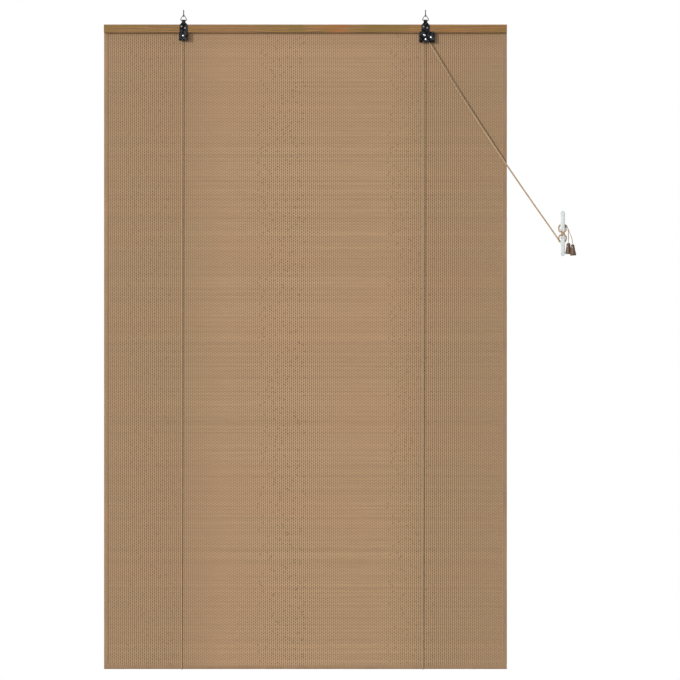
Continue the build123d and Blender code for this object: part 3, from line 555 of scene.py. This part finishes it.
def painted_metal_finish():
    """Black stoved paint, cloudy, and rubbed through along the edges."""
    base = tuple(colours().metal)
    paint = Finish("black_painted_metal", roughness=0.5, gloss=0.05)
    speck = paint.noise(paint.place(), 1600.0, 3.0)
    cloud = paint.noise(paint.place(), 160.0, 4.0)
    worn = paint.span(paint.node("ShaderNodeNewGeometry").outputs["Pointiness"], 0.56, 0.68)
    rubbed = paint.math("MULTIPLY", worn, paint.span(cloud, 0.45, 0.6))
    coat = paint.tones(cloud, base, (0.3, 0.95), (0.7, 1.2))
    paint.colour(paint.mix(rubbed, coat, linear(RUBBED_METAL)))
    paint.roughness(paint.span(cloud, 0.3, 0.7, 0.46, 0.56))
    paint.bump(speck, 0.00006, 0.5)
    return paint.material


def bare_metal_finish(name, base, roughness, metallic=1.0):
    """Drawn wire and stamped heads: fine scratches and dull spots."""
    paint = Finish(name, roughness=roughness, metallic=metallic)
    scratch = paint.noise(paint.place(scale=(1, 1, 6)), 700.0, 4.0, 0.7)
    spot = paint.noise(paint.place(), 260.0, 3.0)
    drawn = paint.tones(scratch, base, (0.3, 0.82), (0.7, 1.08))
    paint.colour(paint.mix(0.5, drawn, paint.tones(spot, base, (0.35, 0.8), (0.65, 1.05))))
    paint.roughness(paint.span(spot, 0.3, 0.7, roughness - 0.08, roughness + 0.15))
    paint.bump(scratch, 0.00004, 0.5)
    return paint.material


def nylon_finish():
    """Off-white nylon of the wheels, with turning marks."""
    paint = Finish("nylon_wheels", roughness=0.45)
    mark = paint.noise(paint.place(), 1500.0, 2.0)
    paint.colour(paint.ramp(mark, (0.3, linear(DULL_NYLON)), (0.7, linear(CLEAN_NYLON))))
    paint.bump(mark, 0.00003, 0.4)
    paint.give("Subsurface Weight", 0.15)
    paint.give("Subsurface Scale", 0.002)
    return paint.material


def cleat_finish():
    """Milky moulded plastic, faintly cloudy."""
    base = tuple(colours().cleat)
    paint = Finish("milky_plastic", roughness=0.35, gloss=0.4)
    cloud = paint.noise(paint.place(), 70.0, 3.0)
    orange_peel = paint.noise(paint.place(), 900.0, 2.0)
    paint.colour(paint.tones(cloud, base, (0.3, 0.93), (0.7, 1.03)))
    paint.roughness(paint.span(cloud, 0.3, 0.7, 0.28, 0.45))
    paint.bump(orange_peel, 0.00005, 0.4)
    paint.give("Subsurface Weight", 0.3)
    paint.give("Subsurface Scale", 0.004)
    return paint.material


def tassel_finish():
    """Stained turned wood: grain down the length and fine lathe rings."""
    base = tuple(colours().tassel)
    paint = Finish("stained_tassel_wood", roughness=0.5, gloss=0.3)
    fibre = paint.noise(paint.place(scale=(900, 900, 60)), 1.0, 4.0)
    rings = paint.wave(paint.place(), "Z", 260.0, 1.0, 2.0)
    stain = paint.noise(paint.place(), 120.0, 3.0)
    wood = paint.tones(fibre, base, (0.3, 0.62), (0.55, 1.0), (0.8, 1.25))
    paint.colour(paint.mix(0.4, wood, paint.tones(stain, base, (0.35, 0.7), (0.65, 1.12))))
    both = paint.math("ADD", paint.math("MULTIPLY", rings, 0.5), fibre)
    paint.roughness(paint.span(fibre, 0.3, 0.7, 0.38, 0.55))
    paint.bump(both, 0.00012, 0.6)
    paint.give("Coat Weight", 0.2)
    return paint.material


def repaint(material, *names):
    """A CAD node keeps its shape and gets a better finish."""
    for name in names:
        nodes[name].data.materials.clear()
        nodes[name].data.materials.append(material)


# Cords

def half_turn(middle, radius, first, last, depths, count):
    """Points of a loop round one horn from one angle to another, eased through the given depths."""
    points = []
    for step in range(count):
        share = step / (count - 1)
        angle = radians(first + (last - first) * share)
        before = min(int(share * (len(depths) - 1)), len(depths) - 2)
        between = share * (len(depths) - 1) - before
        depth = depths[before] + (depths[before + 1] - depths[before]) * between
        across = TURN_SQUEEZE * radius * copysign(abs(cos(angle)) ** TURN_SHOULDER, cos(angle))
        points.append((middle[0] + across, depth, middle[1] + radius * sin(angle)))
    return points


def crossing(side, rise, depth):
    """The point beside the crossing's middle, one cord on each side of it."""
    x = CROSSING[0] + CROSSING_SIDE[0] * side
    z = CROSSING[1] + CROSSING_SIDE[1] * side * rise
    return (x, depth, z)


def turns_round_cleat(lower_radius, upper_radius, side):
    """Two figures of eight: behind each horn and across the front between them."""
    return (
        *half_turn(LOWER_HORN, lower_radius, *FIRST_LOWER_LOOP),
        crossing(side, 1, CROSSING_DEPTHS[0]),
        *half_turn(UPPER_HORN, upper_radius, *FIRST_UPPER_LOOP),
        crossing(-side, -1, CROSSING_DEPTHS[1]),
        *half_turn(LOWER_HORN, lower_radius, *SECOND_LOWER_LOOP),
        crossing(side, 1, CROSSING_DEPTHS[2]),
        *half_turn(UPPER_HORN, upper_radius, *SECOND_UPPER_LOOP),
    )


def spline_curve(name, points):
    """An open smooth spline whose control points are the route's, in metres."""
    curve = bpy.data.curves.new(name, "CURVE")
    curve.dimensions = "3D"
    spline = curve.splines.new("NURBS")
    spline.points.add(len(points) - 1)
    for control, point in zip(spline.points, points):
        control.co = (*(Vector(point) * MM), 1.0)
    spline.order_u = 3
    spline.use_endpoint_u = True
    curve.resolution_u = 8
    piece = bpy.data.objects.new(name, curve)
    bpy.context.scene.collection.objects.link(piece)
    return piece


def cord_piece(name, points, diameter):
    """A mesh tube along the route's spline, and the line that it follows."""
    piece = spline_curve(name, points)
    line = bpy.data.meshes.new_from_object(piece)
    path = [tuple(vertex.co) for vertex in line.vertices]
    bpy.data.meshes.remove(line)
    piece.data.bevel_depth = diameter / 2
    piece.data.bevel_resolution = 2
    piece.data.use_fill_caps = True
    only(piece)
    bpy.ops.object.convert(target="MESH")
    piece = bpy.context.object
    piece.name = name
    # the map's first axis becomes metres along the cord, so that its strands are wound evenly
    reach = [0.0]
    for here, there in zip(path, path[1:]):
        reach.append(reach[-1] + (Vector(there) - Vector(here)).length)
    ring = len(piece.data.vertices) // len(path)
    for loop, corner in zip(piece.data.loops, piece.data.uv_layers[0].data):
        corner.uv.x = reach[min(loop.vertex_index // ring, len(path) - 1)]
    smooth(piece, 60)
    return piece, path


def knot_piece(name, middle, lean, diameter):
    """An overhand knot: a trefoil of the cord, drawn tight and closed over its first points."""
    steps, overlap, tightness = 18, 3, 0.82
    reach, swing, height = 1.25, 0.75, 0.85
    points = []
    for step in range(steps + overlap):
        turn = 2 * pi * step / steps
        flat = reach + swing * cos(3 * turn)
        across, along, rise = flat * cos(2 * turn), flat * sin(2 * turn), height * sin(3 * turn)
        points.append((middle[0] + across - lean * rise, middle[1] + along, middle[2] + rise))
    return cord_piece(name, points, diameter * tightness)[0]


class BLIND_OT_free_cords(bpy.types.Operator):
    """Model both free cords from the lock, round the cleat, to their tassels"""

    bl_idname = "blind.free_cords"
    bl_label = "Free cords"

    def execute(self, context):
        diameter = sizes().cord_diameter
        left_turns, right_turns = (NARROW_TURN, WIDE_TURN, -1), (WIDE_TURN, NARROW_TURN, 1)
        routes = (
            ("left", LEFT_RUN, left_turns, LEFT_TAIL, 0.0, sizes().left_cord),
            ("right", RIGHT_RUN, right_turns, RIGHT_TAIL, RIGHT_LEAN, sizes().right_cord),
        )
        material = cord_finish("twisted_cord_free", FREE_STRANDS)
        for side, run, turns, tail, lean, length in routes:
            points = (*run, *turns_round_cleat(*turns), *tail)
            cord, path = cord_piece(f"free_cord_{side}", points, diameter)
            knot = knot_piece(f"cord_knot_{side}", tail[-1], lean, diameter)
            dress(knot, material, "hung_fittings")
            stands_for = [f"cord_{side}_diagonal", f"cord_{side}_tail"]
            if side == "left":
                stands_for.append("cleat_winding")
            dress(cord, material, stands_for=stands_for)
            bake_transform(cord)
        return {"FINISHED"}


class BLIND_OT_held_cords(bpy.types.Operator):
    """Model the runs of lift cord in front of the mat and behind it"""

    bl_idname = "blind.held_cords"
    bl_label = "Held cords"

    def execute(self, context):
        radius = sizes().cord_diameter / 2
        twisted = cord_finish("twisted_cord_held", HELD_STRANDS)
        for side in ("left", "right"):
            for run in ("front", "back"):
                node = f"cord_{side}_{run}"
                low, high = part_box(node)
                foot = Vector(((low.x + high.x) / 2, high.y - radius, low.z))
                head = Vector(((low.x + high.x) / 2, low.y + radius, high.z))
                way = head - foot
                clear()
                bpy.ops.mesh.primitive_cylinder_add(
                    vertices=10, radius=radius, depth=way.length, location=(foot + head) / 2,
                    rotation=way.to_track_quat("Z", "Y").to_euler())
                cord = settle(f"held_{node}")
                pick(cord, "EDGE", lambda edge: runs_along(edge, 2))
                bpy.ops.mesh.subdivide(number_cuts=80)
                roughen(cord, offset=0.00004, seed=5)
                smooth(cord, 50)
                dress(cord, twisted, "head", [node])
                gather(cord)
        short = plain_cord_finish()
        repaint(short, "cord_left_top", "cord_right_top", "cord_left_loop", "cord_right_loop")
        return {"FINISHED"}


# Mat, bindings and hem

def bamboo_sticks():
    """One split stick, uneven along its length, repeated down the mat."""
    low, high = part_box("woven_mat")
    pitch = sizes().stick_pitch
    middle = (low + high) / 2
    centre = (middle.x, middle.y, high.z - pitch / 2)
    clear()
    bpy.ops.mesh.primitive_cylinder_add(
        vertices=8, radius=pitch / 2, depth=high.x - low.x, location=centre, rotation=(0, pi / 2, 0))
    sticks = settle("bamboo_sticks")
    pick_all(sticks)
    # half a side's turn puts flats, which lie nearer the middle than corners, to the front and top
    half_side = radians(22.5)
    bpy.ops.transform.rotate(value=half_side, orient_axis="X", center_override=centre)
    flat = 1 / cos(half_side)
    bpy.ops.transform.resize(
        value=(1, flat * sizes().stick_thickness / pitch, flat * sizes().stick_height / pitch),
        center_override=centre)
    pick(sticks, "EDGE", lambda edge: runs_along(edge, 0))
    bpy.ops.mesh.subdivide(number_cuts=5)
    bpy.ops.object.mode_set(mode="OBJECT")
    array(sticks, int((high.z - low.z) / pitch), (0, 0, -pitch))
    roughen(sticks, offset=0.00007, seed=11)
    smooth(sticks, 30)
    return sticks


def warp_yarns(name, first, drop):
    """One yarn that goes over a stick and behind the next, repeated down and across the mat."""
    low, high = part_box("woven_mat")
    pitch = sizes().stick_pitch
    inside = 0.0002
    reach = (high.y - low.y) / 2 - inside
    middle_y = (low.y + high.y) / 2
    top = high.z - pitch / 2 - drop
    clear()
    bpy.ops.mesh.primitive_grid_add(
        x_subdivisions=1, y_subdivisions=4, size=1,
        location=(first, middle_y, top - 0.75 * pitch), rotation=(pi / 2, 0, 0))
    bpy.context.object.scale = (sizes().yarn_width, 2 * pitch, 1)
    yarns = settle(name)
    # five rows of corners, half a stick apart: before one stick, behind the next, before the third
    for row, depth in enumerate((-reach, -reach, reach, reach, -reach)):
        height = top + pitch * (0.25 - 0.5 * row)
        pick(yarns, "VERT", lambda vertex: abs(vertex.co.z - height) < 0.1 * pitch)
        bpy.ops.transform.translate(value=(0, depth, 0))
        bpy.ops.object.mode_set(mode="OBJECT")
    rows = int((high.z - low.z) / (2 * pitch) - drop / (2 * pitch))
    array(yarns, rows, (0, 0, -2 * pitch), merge=True)
    columns = int((high.x - first) / (2 * sizes().yarn_pitch))
    array(yarns, columns, (2 * sizes().yarn_pitch, 0, 0))
    roughen(yarns, offset=0.00006, seed=7)
    return yarns


class BLIND_OT_woven_mat(bpy.types.Operator):
    """Weave the mat: sticks across, and yarns that pass over and under them"""

    bl_idname = "blind.woven_mat"
    bl_label = "Woven mat"

    def execute(self, context):
        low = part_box("woven_mat")[0]
        sticks = bamboo_sticks()
        dress(sticks, bamboo_finish(), "head", ["woven_mat"])
        yarn = yarn_finish()
        step = sizes().yarn_pitch
        even = warp_yarns("warp_yarns_even", low.x + step, 0.0)
        odd = warp_yarns("warp_yarns_odd", low.x + 2 * step, sizes().stick_pitch)
        for piece in (even, odd):
            dress(piece, yarn, "head")
        for piece in (sticks, even, odd):
            gather(piece)
        return {"FINISHED"}


def side_binding(side):
    """A tape folded round the mat's edge, with its open side towards the mat."""
    low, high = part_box(f"edge_tape_{side}")
    inward = 1 if side == "left" else -1
    middle = (low + high) / 2
    clear()
    bpy.ops.mesh.primitive_cube_add(size=1, location=middle)
    bpy.context.object.scale = high - low
    binding = settle(f"edge_binding_{side}")
    pick(binding, "FACE", lambda face: faces_way(face, 0, inward) or abs(face.normal.z) > 0.9)
    bpy.ops.mesh.delete(type="FACE")
    outer = low.x if side == "left" else high.x
    pick(binding, "EDGE", lambda edge: runs_along(edge, 2)
         and abs(edge.verts[0].co.x - outer) < 0.0001)
    bpy.ops.mesh.bevel(offset=TAPE_FOLD_RADIUS, segments=3)
    pick(binding, "EDGE", lambda edge: runs_along(edge, 2))
    bpy.ops.mesh.subdivide(number_cuts=90)
    roughen(binding, offset=0.00012, seed=3)
    only(binding)
    bpy.ops.object.modifier_add(type="SOLIDIFY")
    wall = binding.modifiers[-1]
    wall.thickness = TAPE_THICKNESS
    wall.offset = -1
    bpy.ops.object.modifier_apply(modifier=wall.name)
    smooth(binding, 50)
    return binding


def stitch_row(name, at, count, inward):
    """Running stitches: one short thread, bent inwards at both ends, repeated down the tape."""
    clear()
    bpy.ops.mesh.primitive_cylinder_add(
        vertices=6, radius=STITCH_RADIUS, depth=STITCH_LENGTH, location=at)
    stitches = settle(name)
    pick(stitches, "EDGE", lambda edge: runs_along(edge, 2))
    bpy.ops.mesh.subdivide(number_cuts=3)
    pick(stitches, "VERT", lambda vertex: abs(vertex.co.z - at[2]) > 0.4 * STITCH_LENGTH)
    bpy.ops.transform.translate(value=(0, inward * STITCH_DIP, 0))
    bpy.ops.object.mode_set(mode="OBJECT")
    array(stitches, count, (0, 0, -STITCH_STEP))
    smooth(stitches, 60)
    return stitches


class BLIND_OT_edge_bindings(bpy.types.Operator):
    """Fold and stitch the tapes along both sides of the mat"""

    bl_idname = "blind.edge_bindings"
    bl_label = "Edge bindings"

    def execute(self, context):
        cloth = cloth_finish("binding_tape", tuple(colours().binding))
        thread = cloth_finish("binding_thread", tuple(c * 0.82 for c in colours().binding))
        for side in ("left", "right"):
            node = f"edge_tape_{side}"
            low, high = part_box(node)
            binding = side_binding(side)
            dress(binding, cloth, "head", [node])
            gather(binding)
            inner = high.x - STITCH_FROM_EDGE if side == "left" else low.x + STITCH_FROM_EDGE
            count = int((high.z - low.z) / STITCH_STEP)
            for face, depth, inward in (("front", low.y, 1), ("back", high.y, -1)):
                at = (inner, depth, high.z - STITCH_STEP / 2)
                row = stitch_row(f"stitches_{side}_{face}", at, count, inward)
                dress(row, thread, "head")
                gather(row)
        low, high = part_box("woven_mat")
        return {"FINISHED"}


class BLIND_OT_bottom_hem(bpy.types.Operator):
    """Wrap the mat's end and its tape round the bottom dowel"""

    bl_idname = "blind.bottom_hem"
    bl_label = "Bottom hem"

    def execute(self, context):
        low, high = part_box("bottom_hem")
        middle = (low + high) / 2
        radius = (high.z - low.z) / 2 - HEM_LAP
        clear()
        bpy.ops.mesh.primitive_cylinder_add(
            vertices=40, radius=radius, depth=high.x - low.x,
            location=middle, rotation=(0, pi / 2, 0))
        hem = settle("hem_roll")
        for sign in (-1, 1):
            pick(hem, "FACE", lambda face: faces_way(face, 0, sign))
            bpy.ops.mesh.inset(thickness=HEM_WALL)
            into_roll = (-sign * HEM_HOLLOW, 0, 0)
            bpy.ops.mesh.extrude_region_move(TRANSFORM_OT_translate={"value": into_roll})
            bpy.ops.object.mode_set(mode="OBJECT")
        # the tape's lap lies as a low step along the back of the roll
        pick(hem, "FACE", lambda face: abs(face.normal.x) < 0.1 and face.calc_area() > 0.0001
             and face.normal.y > 0.35 and face.normal.z > -0.2)
        bpy.ops.mesh.extrude_region_shrink_fatten(TRANSFORM_OT_shrink_fatten={"value": HEM_LAP})
        pick(hem, "EDGE", lambda edge: runs_along(edge, 0) and edge.calc_length() > 0.5)
        bpy.ops.mesh.subdivide(number_cuts=60)
        roughen(hem, offset=0.00014, seed=9)
        smooth(hem, 40)
        cloth = cloth_finish("hem_tape", tuple(c * 0.985 for c in colours().binding))
        dress(hem, cloth, "bottom_roll", ["bottom_hem"])
        repaint(slat_finish("dowel_wood", DOWEL, 0.6), "bottom_rod")
        return {"FINISHED"}


# Headrail and fittings

class BLIND_OT_headrail(bpy.types.Operator):
    """Finish the two slats, their nails and the cord staples"""

    bl_idname = "blind.headrail"
    bl_label = "Headrail"

    def execute(self, context):
        repaint(slat_finish("varnished_slat", tuple(colours().slat)), "front_slat")
        darker = tuple(c * 0.95 for c in colours().slat)
        repaint(slat_finish("back_slat_wood", darker, 0.55), "back_slat")
        wire = bare_metal_finish("galvanised_steel", GALVANISED, 0.42)
        repaint(wire, "slat_nails", "cord_staples")
        return {"FINISHED"}


def screw_thread(name, at, axis, radius, depth, pitch, length):
    """A thread ridge: a small triangle wound up the shank by the screw modifier."""
    steps_per_turn = 20
    clear()
    bpy.ops.mesh.primitive_circle_add(
        vertices=3, radius=depth, location=(radius, 0, 0), rotation=(pi / 2, 0, 0))
    ridge = settle(name)
    only(ridge)
    bpy.ops.object.modifier_add(type="SCREW")
    screw = ridge.modifiers[-1]
    screw.angle = 2 * pi * length / pitch
    screw.screw_offset = length
    screw.steps = int(steps_per_turn * length / pitch)
    screw.render_steps = screw.steps
    screw.use_merge_vertices = False
    bpy.ops.object.modifier_apply(modifier=screw.name)
    pick(ridge, "EDGE", lambda edge: edge.is_boundary)
    bpy.ops.mesh.fill()
    bpy.ops.mesh.select_all(action="SELECT")
    bpy.ops.mesh.normals_make_consistent(inside=False)
    bpy.ops.object.mode_set(mode="OBJECT")
    if axis == "Y":
        ridge.rotation_euler = (-pi / 2, 0, 0)
    ridge.location = at
    only(ridge)
    bpy.ops.object.transform_apply(location=True, rotation=True, scale=True)
    smooth(ridge, 40)
    return ridge


class BLIND_OT_hangers(bpy.types.Operator):
    """Finish the hooks and rings, and cut their screw threads"""

    bl_idname = "blind.hangers"
    bl_label = "Hooks and rings"

    def execute(self, context):
        wire = bare_metal_finish("hook_wire", HOOK_WIRE, 0.4)
        repaint(wire, "hook_left", "hook_right", "ring_left", "ring_right")
        for side in ("left", "right"):
            low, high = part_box(f"hook_{side}")
            foot = ((low.x + high.x) / 2, 0, 0.0012)
            thread = screw_thread(f"hook_thread_{side}", foot, "Z",
                                  radius=0.0013, depth=0.0003, pitch=0.0011, length=0.0038)
            dress(thread, wire, "hung_fittings")
        return {"FINISHED"}


class BLIND_OT_lock(bpy.types.Operator):
    """Finish the hanger plates, the pulley and the cord lock"""

    bl_idname = "blind.lock"
    bl_label = "Plates, pulley and cord lock"

    def execute(self, context):
        repaint(painted_metal_finish(), "hanger_plate_left", "hanger_plate_right",
                "pulley_housing_left", "lock_housing_right")
        repaint(bare_metal_finish("plate_nail_steel", PLATE_NAIL, 0.5, 0.8), "plate_nails")
        repaint(bare_metal_finish("bright_rivet", BRIGHT_RIVET, 0.24),
                "rivet_pulley_left", "rivet_guide", "rivet_lock_roller", "rivet_cam")
        repaint(bare_metal_finish("cam_steel", CAM_STEEL, 0.36), "lock_cam")
        repaint(nylon_finish(), "pulley_left", "guide_roller", "lock_roller")
        return {"FINISHED"}


class BLIND_OT_cleat(bpy.types.Operator):
    """Finish the cleat and its two wall screws"""

    bl_idname = "blind.cleat"
    bl_label = "Cleat"

    def execute(self, context):
        repaint(cleat_finish(), "cleat")
        steel = bare_metal_finish("zinc_screw", ZINC_SCREW, 0.3)
        repaint(steel, "cleat_screws")
        low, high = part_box("cleat_screws")
        middle_x = (low.x + high.x) / 2
        head = (high.x - low.x) / 2
        in_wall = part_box("cleat")[1].y + 0.002
        for place, z in (("upper", high.z - head), ("lower", low.z + head)):
            thread = screw_thread(f"screw_thread_{place}", (middle_x, in_wall, z), "Y",
                                  radius=0.002, depth=0.0004, pitch=0.0016, length=0.0135)
            dress(thread, steel, "hung_fittings")
        return {"FINISHED"}


class BLIND_OT_tassels(bpy.types.Operator):
    """Finish the two turned tassels"""

    bl_idname = "blind.tassels"
    bl_label = "Tassels"

    def execute(self, context):
        repaint(tassel_finish(), "tassel_left", "tassel_right")
        return {"FINISHED"}


# Stage

def photo_camera(scene):
    """The long lens and the place from which the photo was taken."""
    view = bpy.data.cameras.new("photo_camera")
    view.type = "PERSP"
    view.sensor_width = SENSOR_WIDTH_MM
    view.lens = CAMERA_LENS_MM
    view.clip_end = FARTHEST_SEEN
    camera = bpy.data.objects.new("photo_camera", view)
    scene.collection.objects.link(camera)
    camera.location = CAMERA_PLACE
    camera.rotation_euler = (pi / 2, 0, 0)
    scene.camera = camera


def window_light(scene):
    """Low, soft sunlight from the left."""
    sun = bpy.data.lights.new("window_light", "SUN")
    sun.energy = WINDOW_STRENGTH
    sun.angle = radians(WINDOW_SPREAD)
    window = bpy.data.objects.new("window_light", sun)
    scene.collection.objects.link(window)
    window.rotation_euler = Vector(WINDOW_WAY).to_track_quat("-Z", "Y").to_euler()


def soft_lamp(scene, name, place, power):
    """A broad lamp, aimed at the blind and not seen itself."""
    light = bpy.data.lights.new(name, "AREA")
    light.energy = power
    light.size = LAMP_SIZE
    lamp = bpy.data.objects.new(name, light)
    scene.collection.objects.link(lamp)
    lamp.location = place
    lamp.visible_camera = False
    way = Vector(BLIND_MIDDLE) - Vector(place)
    lamp.rotation_euler = way.to_track_quat("-Z", "Y").to_euler()


def studio_world(scene):
    """White to the camera, in reflections and through glass, and a weaker light on the blind."""
    world = bpy.data.worlds.new("studio")
    scene.world = world
    world.use_nodes = True
    tree = world.node_tree
    tree.nodes.clear()
    rays = tree.nodes.new("ShaderNodeLightPath")
    shown = rays.outputs["Is Camera Ray"]
    for ray in ("Is Glossy Ray", "Is Transmission Ray"):
        either = tree.nodes.new("ShaderNodeMath")
        either.operation = "MAXIMUM"
        tree.links.new(shown, either.inputs[0])
        tree.links.new(rays.outputs[ray], either.inputs[1])
        shown = either.outputs[0]
    ambient = tree.nodes.new("ShaderNodeBackground")
    ambient.inputs["Color"].default_value = AMBIENT_COLOUR
    ambient.inputs["Strength"].default_value = AMBIENT_STRENGTH
    white = tree.nodes.new("ShaderNodeBackground")
    white.inputs["Color"].default_value = WHITE
    white.inputs["Strength"].default_value = 1.0
    choose = tree.nodes.new("ShaderNodeMixShader")
    tree.links.new(shown, choose.inputs[0])
    tree.links.new(ambient.outputs[0], choose.inputs[1])
    tree.links.new(white.outputs[0], choose.inputs[2])
    output = tree.nodes.new("ShaderNodeOutputWorld")
    tree.links.new(choose.outputs[0], output.inputs["Surface"])


def pale_floor():
    """A plain round floor below the blind, a little brighter to the camera than its light makes it."""
    clear()
    bpy.ops.mesh.primitive_circle_add(
        vertices=128, radius=FLOOR_RADIUS, fill_type="NGON", location=FLOOR_PLACE)
    floor = settle("pale_floor")
    paint = Finish("pale_floor", roughness=0.8)
    grain = paint.noise(paint.place(), 60.0, 3.0)
    paint.colour(paint.ramp(grain, (0.3, linear(DARK_FLOOR)), (0.7, linear(PALE_FLOOR))))
    to_camera = paint.node("ShaderNodeLightPath").outputs["Is Camera Ray"]
    glow = paint.math("MULTIPLY", to_camera, FLOOR_GLOW)
    paint.give("Emission Color", WHITE)
    paint.give("Emission Strength", glow)
    floor.data.materials.append(paint.material)


class BLIND_OT_stage(bpy.types.Operator):
    """Set the camera, the light and a pale floor"""

    bl_idname = "blind.stage"
    bl_label = "Camera, light and floor"

    def execute(self, context):
        scene = context.scene
        scene.view_settings.view_transform = "Standard"
        photo_camera(scene)
        window_light(scene)
        soft_lamp(scene, "room_fill", ROOM_FILL_PLACE, ROOM_FILL_POWER)
        soft_lamp(scene, "back_fill", BACK_FILL_PLACE, BACK_FILL_POWER)
        studio_world(scene)
        pale_floor()
        return {"FINISHED"}


class BLIND_PT_panel(bpy.types.Panel):
    """Lists the blind's pieces in the order they are made"""

    bl_idname = "BLIND_PT_panel"
    bl_label = "Roll-up blind"
    bl_space_type = "VIEW_3D"
    bl_region_type = "UI"
    bl_category = "Blind"

    def draw(self, context):
        layout = self.layout
        for group in (context.scene.blind_sizes, context.scene.blind_colours):
            box = layout.box()
            for name in group.__annotations__:
                box.prop(group, name)
        for operator in OPERATORS:
            layout.operator(operator.bl_idname)


OPERATORS = (
    BLIND_OT_stage,
    BLIND_OT_free_cords,
    BLIND_OT_held_cords,
    BLIND_OT_woven_mat,
    BLIND_OT_edge_bindings,
    BLIND_OT_bottom_hem,
    BLIND_OT_headrail,
    BLIND_OT_hangers,
    BLIND_OT_lock,
    BLIND_OT_cleat,
    BLIND_OT_tassels,
)
CLASSES = (BlindSizes, BlindColours, *OPERATORS, BLIND_PT_panel)


def register():
    for item in CLASSES:
        bpy.utils.register_class(item)
    bpy.types.Scene.blind_sizes = bpy.props.PointerProperty(type=BlindSizes)
    bpy.types.Scene.blind_colours = bpy.props.PointerProperty(type=BlindColours)


def unregister():
    del bpy.types.Scene.blind_colours
    del bpy.types.Scene.blind_sizes
    for item in reversed(CLASSES):
        bpy.utils.unregister_class(item)


def main():
    register()
    bpy.ops.blind.stage()
    bpy.ops.blind.free_cords()
    bpy.ops.blind.held_cords()
    bpy.ops.blind.woven_mat()
    bpy.ops.blind.edge_bindings()
    bpy.ops.blind.bottom_hem()
    bpy.ops.blind.headrail()
    bpy.ops.blind.hangers()
    bpy.ops.blind.lock()
    bpy.ops.blind.cleat()
    bpy.ops.blind.tassels()


if __name__ == "__main__":
    main()
